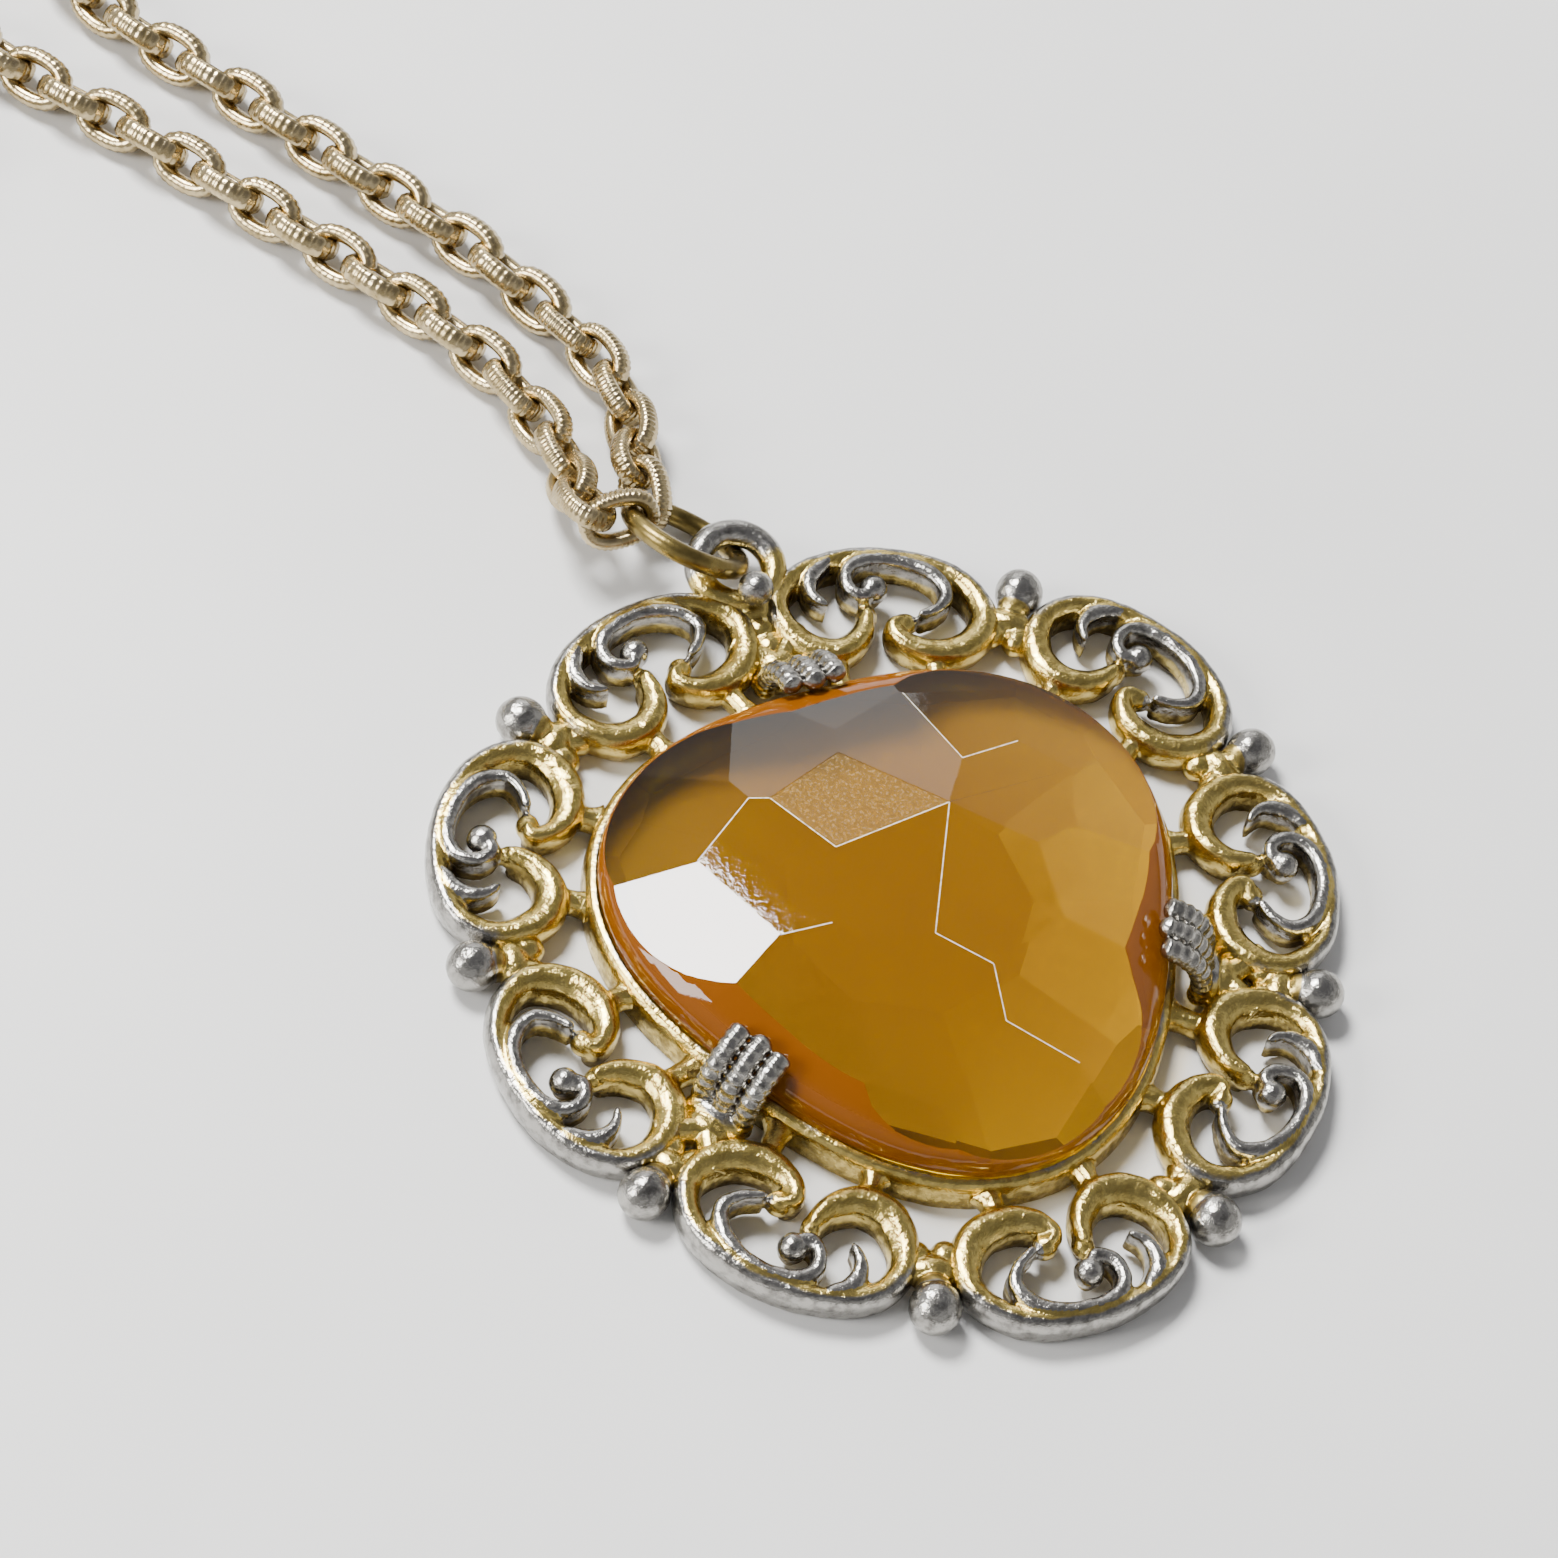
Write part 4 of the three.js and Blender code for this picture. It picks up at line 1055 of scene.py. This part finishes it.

# %% [markdown]
# ## The stone
# A rounded triangle of glass with a low faceted dome and a shallow faceted back. Facets are ground flat, so
# the stone is a thick slab cut by one plane after another. Each crown plane touches a bowl-shaped surface at
# a chosen point, and neighbouring planes meet half way between their points. A narrow bevel runs along the
# long crown edges, and on a listed few of them, on the lit side, it is pale: partly wear, and partly a painted
# highlight that makes those edges bright.

# %% Cut the stone
STONE_RADIUS, STONE_LOW, DOME_TOP, DOME_FALL = 16.45, 0.85, 7.45, 0.0130
SHOULDER = [
    (0.0, STONE_LOW), (0.0, 2.95), (0.1, 3.4), (0.36, 3.85), (0.78, 4.3), (1.35, 4.75), (2.2, 5.28), (3.2, 5.84),
    (4.4, 6.4), (6.0, 7.02), (9.0, 7.95),
]  # in from the outline, and height
CROWN_POINTS = [
    (-2.2, 5.2), (-1.7, -0.15), (2.8, -2.65), (2.2, 8.6), (-4.1, 10.75), (-7.85, 2.75), (5.3, -10.1),
    (-9.4, -16.1), (8.6, 3.6), (7.6, 9.4), (12.6, 7.2), (-11.8, 8.8), (-13.2, 0.9), (-9.4, -6.4), (-3.6, -8.6),
    (10.6, -3.6), (13.4, 1.4), (0.6, -15.2), (7.8, -13.4), (0.4, 13.6), (-8.6, 13.0), (8.2, 13.6),
]
BACKS = [(11, 16.45, 2.35, 19), (9, 6.5, STONE_LOW, 5.5)]  # count, radius, height, tilt
# Facet pairs whose edge bevels turn pale: wear, and a painted highlight on the edges of the lit side.
WORN_GLINT_EDGES = [(0, 1), (0, 5), (4, 5), (5, 11), (1, 2), (2, 14), (6, 14), (3, 9), (8, 9), (5, 13), (6, 17)]  # by facet
OUTLINE_STEPS, EDGE_WIDTH, PLAIN, FACET, WORN_EDGE_GLINT = 120, 0.07, 0, 1, 2


def cut(bm, at, facing):
    geometry = bm.verts[:] + bm.edges[:] + bm.faces[:]
    result = bmesh.ops.bisect_plane(bm, geom=geometry, plane_co=at, plane_no=facing, clear_outer=True, dist=1e-5)
    edges = [e for e in result["geom_cut"] if isinstance(e, bmesh.types.BMEdge)]
    if edges:
        bmesh.ops.contextual_create(bm, geom=edges)
    return Vector(at), facing


def stone_mesh():
    bm = bmesh.new()
    rows = []
    for inset, z in SHOULDER:
        row = []
        for i in range(OUTLINE_STEPS):
            a = 2 * math.pi * i / OUTLINE_STEPS
            row.append(bm.verts.new((*polar(rounded_triangle(STONE_RADIUS - inset, RIM_WAVE, a), a), z)))
        rows.append(row)
    for low, high in zip(rows, rows[1:]):
        for i in range(OUTLINE_STEPS):
            j = (i + 1) % OUTLINE_STEPS
            bm.faces.new((low[i], low[j], high[j], high[i]))
    bm.faces.new(rows[0][::-1])
    bm.faces.new(rows[-1])
    planes = [(Vector((0, 0, STONE_LOW)), Vector((0, 0, -1)))]
    for x, y in CROWN_POINTS:
        height = DOME_TOP - DOME_FALL * (x * x + y * y)
        planes.append(cut(bm, (x, y, height), Vector((2 * DOME_FALL * x, 2 * DOME_FALL * y, 1)).normalized()))
    for count, radius, height, tilt in BACKS:
        tilt = math.radians(tilt)
        for i in range(count):
            a = CORNER + 2 * math.pi * (i + 0.3) / count
            at = rounded_triangle(radius, RIM_WAVE if radius > 10 else 0, a)
            out = Vector((*polar(math.sin(tilt), a), -math.cos(tilt)))
            planes.append(cut(bm, (*polar(at, a), height), out))
    bmesh.ops.remove_doubles(bm, verts=bm.verts, dist=0.02)
    bmesh.ops.dissolve_limit(bm, angle_limit=math.radians(0.4), verts=bm.verts, edges=bm.edges)
    bmesh.ops.recalc_face_normals(bm, faces=bm.faces)
    kind = bm.faces.layers.int.new("kind")
    for face in bm.faces:
        middle = face.calc_center_median()
        flat = any(abs(face.normal.dot(n)) > 0.9999 and abs((middle - p).dot(n)) < 0.02 for p, n in planes)
        face[kind] = FACET if flat else PLAIN
    edges = [
        e for e in bm.edges
        if e.calc_length() > 0.4 and e.calc_face_angle(0) > math.radians(1.5) and all(f[kind] for f in e.link_faces)
        and min(v.co.z for v in e.verts) > 3.2
    ]
    made = bmesh.ops.bevel(
        bm, geom=edges, offset=EDGE_WIDTH / 2, offset_type="OFFSET", segments=1, profile=0.5, affect="EDGES",
        clamp_overlap=False,
    )
    crown = planes[1 : 1 + len(CROWN_POINTS)]
    for face in made["faces"]:
        middle = face.calc_center_median()
        near = sorted(range(len(crown)), key=lambda i: abs((middle - crown[i][0]).dot(crown[i][1])))
        # The bevels of the listed edges are marked for the pale frost: wear and painted highlight.
        face[kind] = WORN_EDGE_GLINT if tuple(sorted(near[:2])) in WORN_GLINT_EDGES else FACET
    bmesh.ops.triangulate(bm, faces=[f for f in bm.faces if len(f.verts) > 4])
    mesh = bpy.data.meshes.new("stone")
    bm.to_mesh(mesh)
    bm.free()
    return mesh


mesh = stone_mesh()
kinds = [layer.value for layer in mesh.attributes["kind"].data]
print("stone:", len(kinds), "faces,", kinds.count(WORN_EDGE_GLINT), "of them worn edges,", kinds.count(FACET), "cut flat")
KITE = CROWN_POINTS[0]
scuffs = [
    float(k == FACET and math.hypot(p.center.x - KITE[0], p.center.y - KITE[1]) < 2.4)
    for k, p in zip(kinds, mesh.polygons)
]
# The "edge" faces are pale frost, wear and painted highlight; the shoulder faces get the painted orange glow.
sides_of = [float(k == PLAIN) for k in kinds]
backs = [float(p.normal.z < -0.5) for p in mesh.polygons]
worn = [float(k == WORN_EDGE_GLINT) for k in kinds]
for name, values in (("edge", worn), ("scuff", scuffs), ("ground", sides_of), ("pressed", backs)):
    layer = mesh.attributes.new(name, "FLOAT", "FACE")
    layer.data.foreach_set("value", values)
stone = piece("stone_glass", mesh, amber)
mesh.polygons.foreach_set("use_smooth", [k == PLAIN for k in kinds])
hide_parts("stone")
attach(stone, "pendant")

# %% [markdown]
# ## The jump ring and the clasp
# All of these are round wire bent into a ring, so one function makes them. A jump ring has a fine cut where it
# was closed. The clasp is a C of tube with a spring-loaded bolt inside it.

# %% Wire rings
def wire_ring(centre, along, up, radius, wire, start=0.0, end=2 * math.pi, steps=96, around=18):
    """A ring of wire in the plane of two directions. Short of a full turn it gets two rounded ends."""
    along, up = np.array(along, float), np.array(up, float)
    along, up = along / np.linalg.norm(along), up / np.linalg.norm(up)
    axis = np.cross(along, up)
    whole = abs(end - start - 2 * math.pi) < 1e-6
    angles = np.linspace(start, end, steps, endpoint=not whole)
    sides = np.array([math.cos(a) * along + math.sin(a) * up for a in angles])
    line = np.array(centre) + radius * sides
    ups = np.tile(axis, (len(angles), 1))
    step = radius * (end - start) / steps

    def section(i):
        far = min(i, len(angles) - 1 - i) * step
        size = 1 if whole else math.sqrt(max(0.2, 1 - (1 - min(far / (wire * 0.5), 1)) ** 2))
        return [(a * wire * size, b * wire * size) for a, b in circle(1, around)]

    return sweep(line, sides, ups, section, whole)


JUMP_RING, JUMP_WIRE, JUMP_CENTRE = 3.6, 0.625, np.array([-2.4, 27.8, 2.95])
JUMP_HEADING, JUMP_LEAN = math.radians(123.7), math.radians(39)
ring_along = np.array([math.cos(JUMP_HEADING), math.sin(JUMP_HEADING), 0])
ring_side = np.array([ring_along[1], -ring_along[0], 0])
ring_up = -ring_side * math.cos(JUMP_LEAN) + np.array([0, 0, math.sin(JUMP_LEAN)])
CUT = math.radians(250)
points, faces = wire_ring(
    JUMP_CENTRE, ring_along, ring_up, JUMP_RING, JUMP_WIRE, CUT + 0.012, CUT + 2 * math.pi - 0.012, 140, 22
)
obj = piece("jump_ring_wire", outward(mesh_of("jump ring", points, faces)), antique_brass)
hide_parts("jump_ring")
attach(obj, "jump_ring")

# %% The clasp and the catch ring
CLASP_HEIGHT, CLASP_RING, CLASP_TUBE, CLASP_TONGUE = 1.03, 2.65, 0.85, 0.4
MOUTH = math.radians(35)
Z = np.array([0, 0, 1.0])


def past_end(side):
    line = lines[side]
    heading = (line[-1] - line[-3]) * np.array([1, 1, 0])
    return line[-1], heading / np.linalg.norm(heading)


end, heading = past_end("left")
across = np.array([-heading[1], heading[0], 0])


def along_end(distance, height):
    return np.array([*(end + heading * distance)[:2], height])


def hung(distance, radius, low):
    """Middle and long axis of a ring whose near side hangs in the last link and whose far side is at low."""
    fall = math.asin((FLOOR_HEIGHT - low) / (2 * radius))
    return along_end(distance, (FLOOR_HEIGHT + low) / 2), heading * math.cos(fall) - Z * math.sin(fall)


middle, long_way = hung(2.4, 1.7, CLASP_HEIGHT)
points, faces = wire_ring(middle, long_way, across, 1.7, 0.35, steps=60, around=12)
clasp_link = piece("clasp_jump_ring_wire", outward(mesh_of("clasp jump ring", points, faces)), antique_brass)
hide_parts("clasp_jump_ring")
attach(clasp_link, "left_chain_end")

clasp_at = along_end(8.13, CLASP_HEIGHT)
tube = wire_ring(clasp_at, heading, across, CLASP_RING, CLASP_TUBE, MOUTH, 2 * math.pi - MOUTH, 90, 24)
eye = wire_ring(along_end(4.15, CLASP_HEIGHT), heading, Z, 0.78, 0.25, steps=40, around=10)
collars = [
    wire_ring(clasp_at, heading, across, CLASP_RING, CLASP_TUBE + 0.07, a, a + 0.14, 8, 24)
    for a in (MOUTH + 0.05, 2 * math.pi - MOUTH - 0.19)
]
points, faces = joined([tube, eye] + collars)
clasp = piece("clasp_body_tube", outward(mesh_of("clasp", points, faces)), clasp_gold)
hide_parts("clasp_body")
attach(clasp, "left_chain_end")

bolt = wire_ring(clasp_at, heading, across, CLASP_RING, CLASP_TONGUE, -MOUTH - 0.1, MOUTH + 0.5, 40, 14)
angle = MOUTH + 0.2
out = heading * math.cos(angle) + across * math.sin(angle)
swing = -heading * math.sin(angle) + across * math.cos(angle)
lever_line = np.array([clasp_at + out * (CLASP_RING + 0.2 + 0.16 * i) for i in range(9)])
lever = sweep(
    lever_line,
    np.tile(swing, (9, 1)),
    np.tile(Z, (9, 1)),
    lambda i: [(a * 0.22, b * 0.22) for a, b in circle(1, 10)],
)
knob = ball(clasp_at + out * (CLASP_RING + 1.42), (0.42, 0.42, 0.42), 12, 18)
mesh = melted("clasp trigger", joined([bolt, lever, knob]), 0.06, 2)
trigger = piece("clasp_trigger_bolt", mesh, clasp_gold)
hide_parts("clasp_trigger")
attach(trigger, "clasp_trigger")

end, heading = past_end("right")
across = np.array([-heading[1], heading[0], 0])
middle, long_way = hung(3.05, 2.25, 0.46)
points, faces = wire_ring(middle, long_way, across, 2.25, 0.45, 0.02, 2 * math.pi - 0.02, 80, 14)
catch = piece("catch_ring_wire", outward(mesh_of("catch ring", points, faces)), antique_brass)
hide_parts("catch_ring")
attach(catch, "right_chain_end")

# %% [markdown]
# ## The two cords
# Each half runs from the far bar of its last moving link to its end, with the clasp or the catch ring on it.
# The loop below only takes each half's route; nothing more is done with it.

for side, extras in (("left", [clasp_link, clasp, trigger]), ("right", [catch])):
    line = lines[side]

# %% [markdown]
# ## Table and light
# A pale matt table and soft white light from large lamps, as in a light tent. Metal needs something to
# reflect, so one lamp is narrow and bright, and the world is a little darker low down.

# %% Table
bpy.ops.mesh.primitive_plane_add(size=3, location=(0, 0, 0))
table = bpy.context.object
table.name = "table"
material, tree, shader, coords = fresh("pale stone table")
cloud = noise_node(tree, coords, 14, 5)
tint = ramp_node(tree, cloud, [(0.35, (0.74, 0.735, 0.72)), (0.7, (0.82, 0.815, 0.80))])
tree.links.new(tint, shader.inputs["Base Color"])
shader.inputs["Roughness"].default_value = 0.45
table.data.materials.append(material)

# %% Lamps
def lamp(name, at, aim, width, height, watts, color=(1, 1, 1)):
    data = bpy.data.lights.new(name, "AREA")
    data.shape = "RECTANGLE"
    data.size = width
    data.size_y = height
    data.energy = watts
    data.color = color
    obj = bpy.data.objects.new(name, data)
    obj.location = at
    obj.rotation_euler = (Vector(aim) - Vector(at)).to_track_quat("-Z", "Y").to_euler()
    bpy.context.scene.collection.objects.link(obj)


lamp("window above", (-0.145, 0.41, 0.67), (0, 0, 0), 0.26, 0.22, 14.0)
lamp("window left", (-0.70, 0.10, 0.42), (0, 0, 0), 0.30, 0.35, 6.5, (1, 0.99, 0.97))
lamp("fill behind", (0.30, 0.75, 0.40), (0, 0, 0), 0.5, 0.3, 1.0, (0.97, 0.98, 1))
world = bpy.data.worlds.new("soft room")
world.use_nodes = True
tree = world.node_tree
direction = node(tree, "ShaderNodeTexCoord").outputs["Generated"]
split = node(tree, "ShaderNodeSeparateXYZ")
tree.links.new(direction, split.inputs[0])
shade = ramp_node(
    tree,
    split.outputs["Z"],
    [(0.0, (0.35, 0.33, 0.31)), (0.15, (0.8, 0.8, 0.8)), (0.45, (0.9, 0.9, 0.9)), (0.7, (0.40, 0.40, 0.42)), (0.95, (0.26, 0.26, 0.28))],
)
background = tree.nodes["Background"]
tree.links.new(shade, background.inputs["Color"])
background.inputs["Strength"].default_value = 0.7
bpy.context.scene.world = world
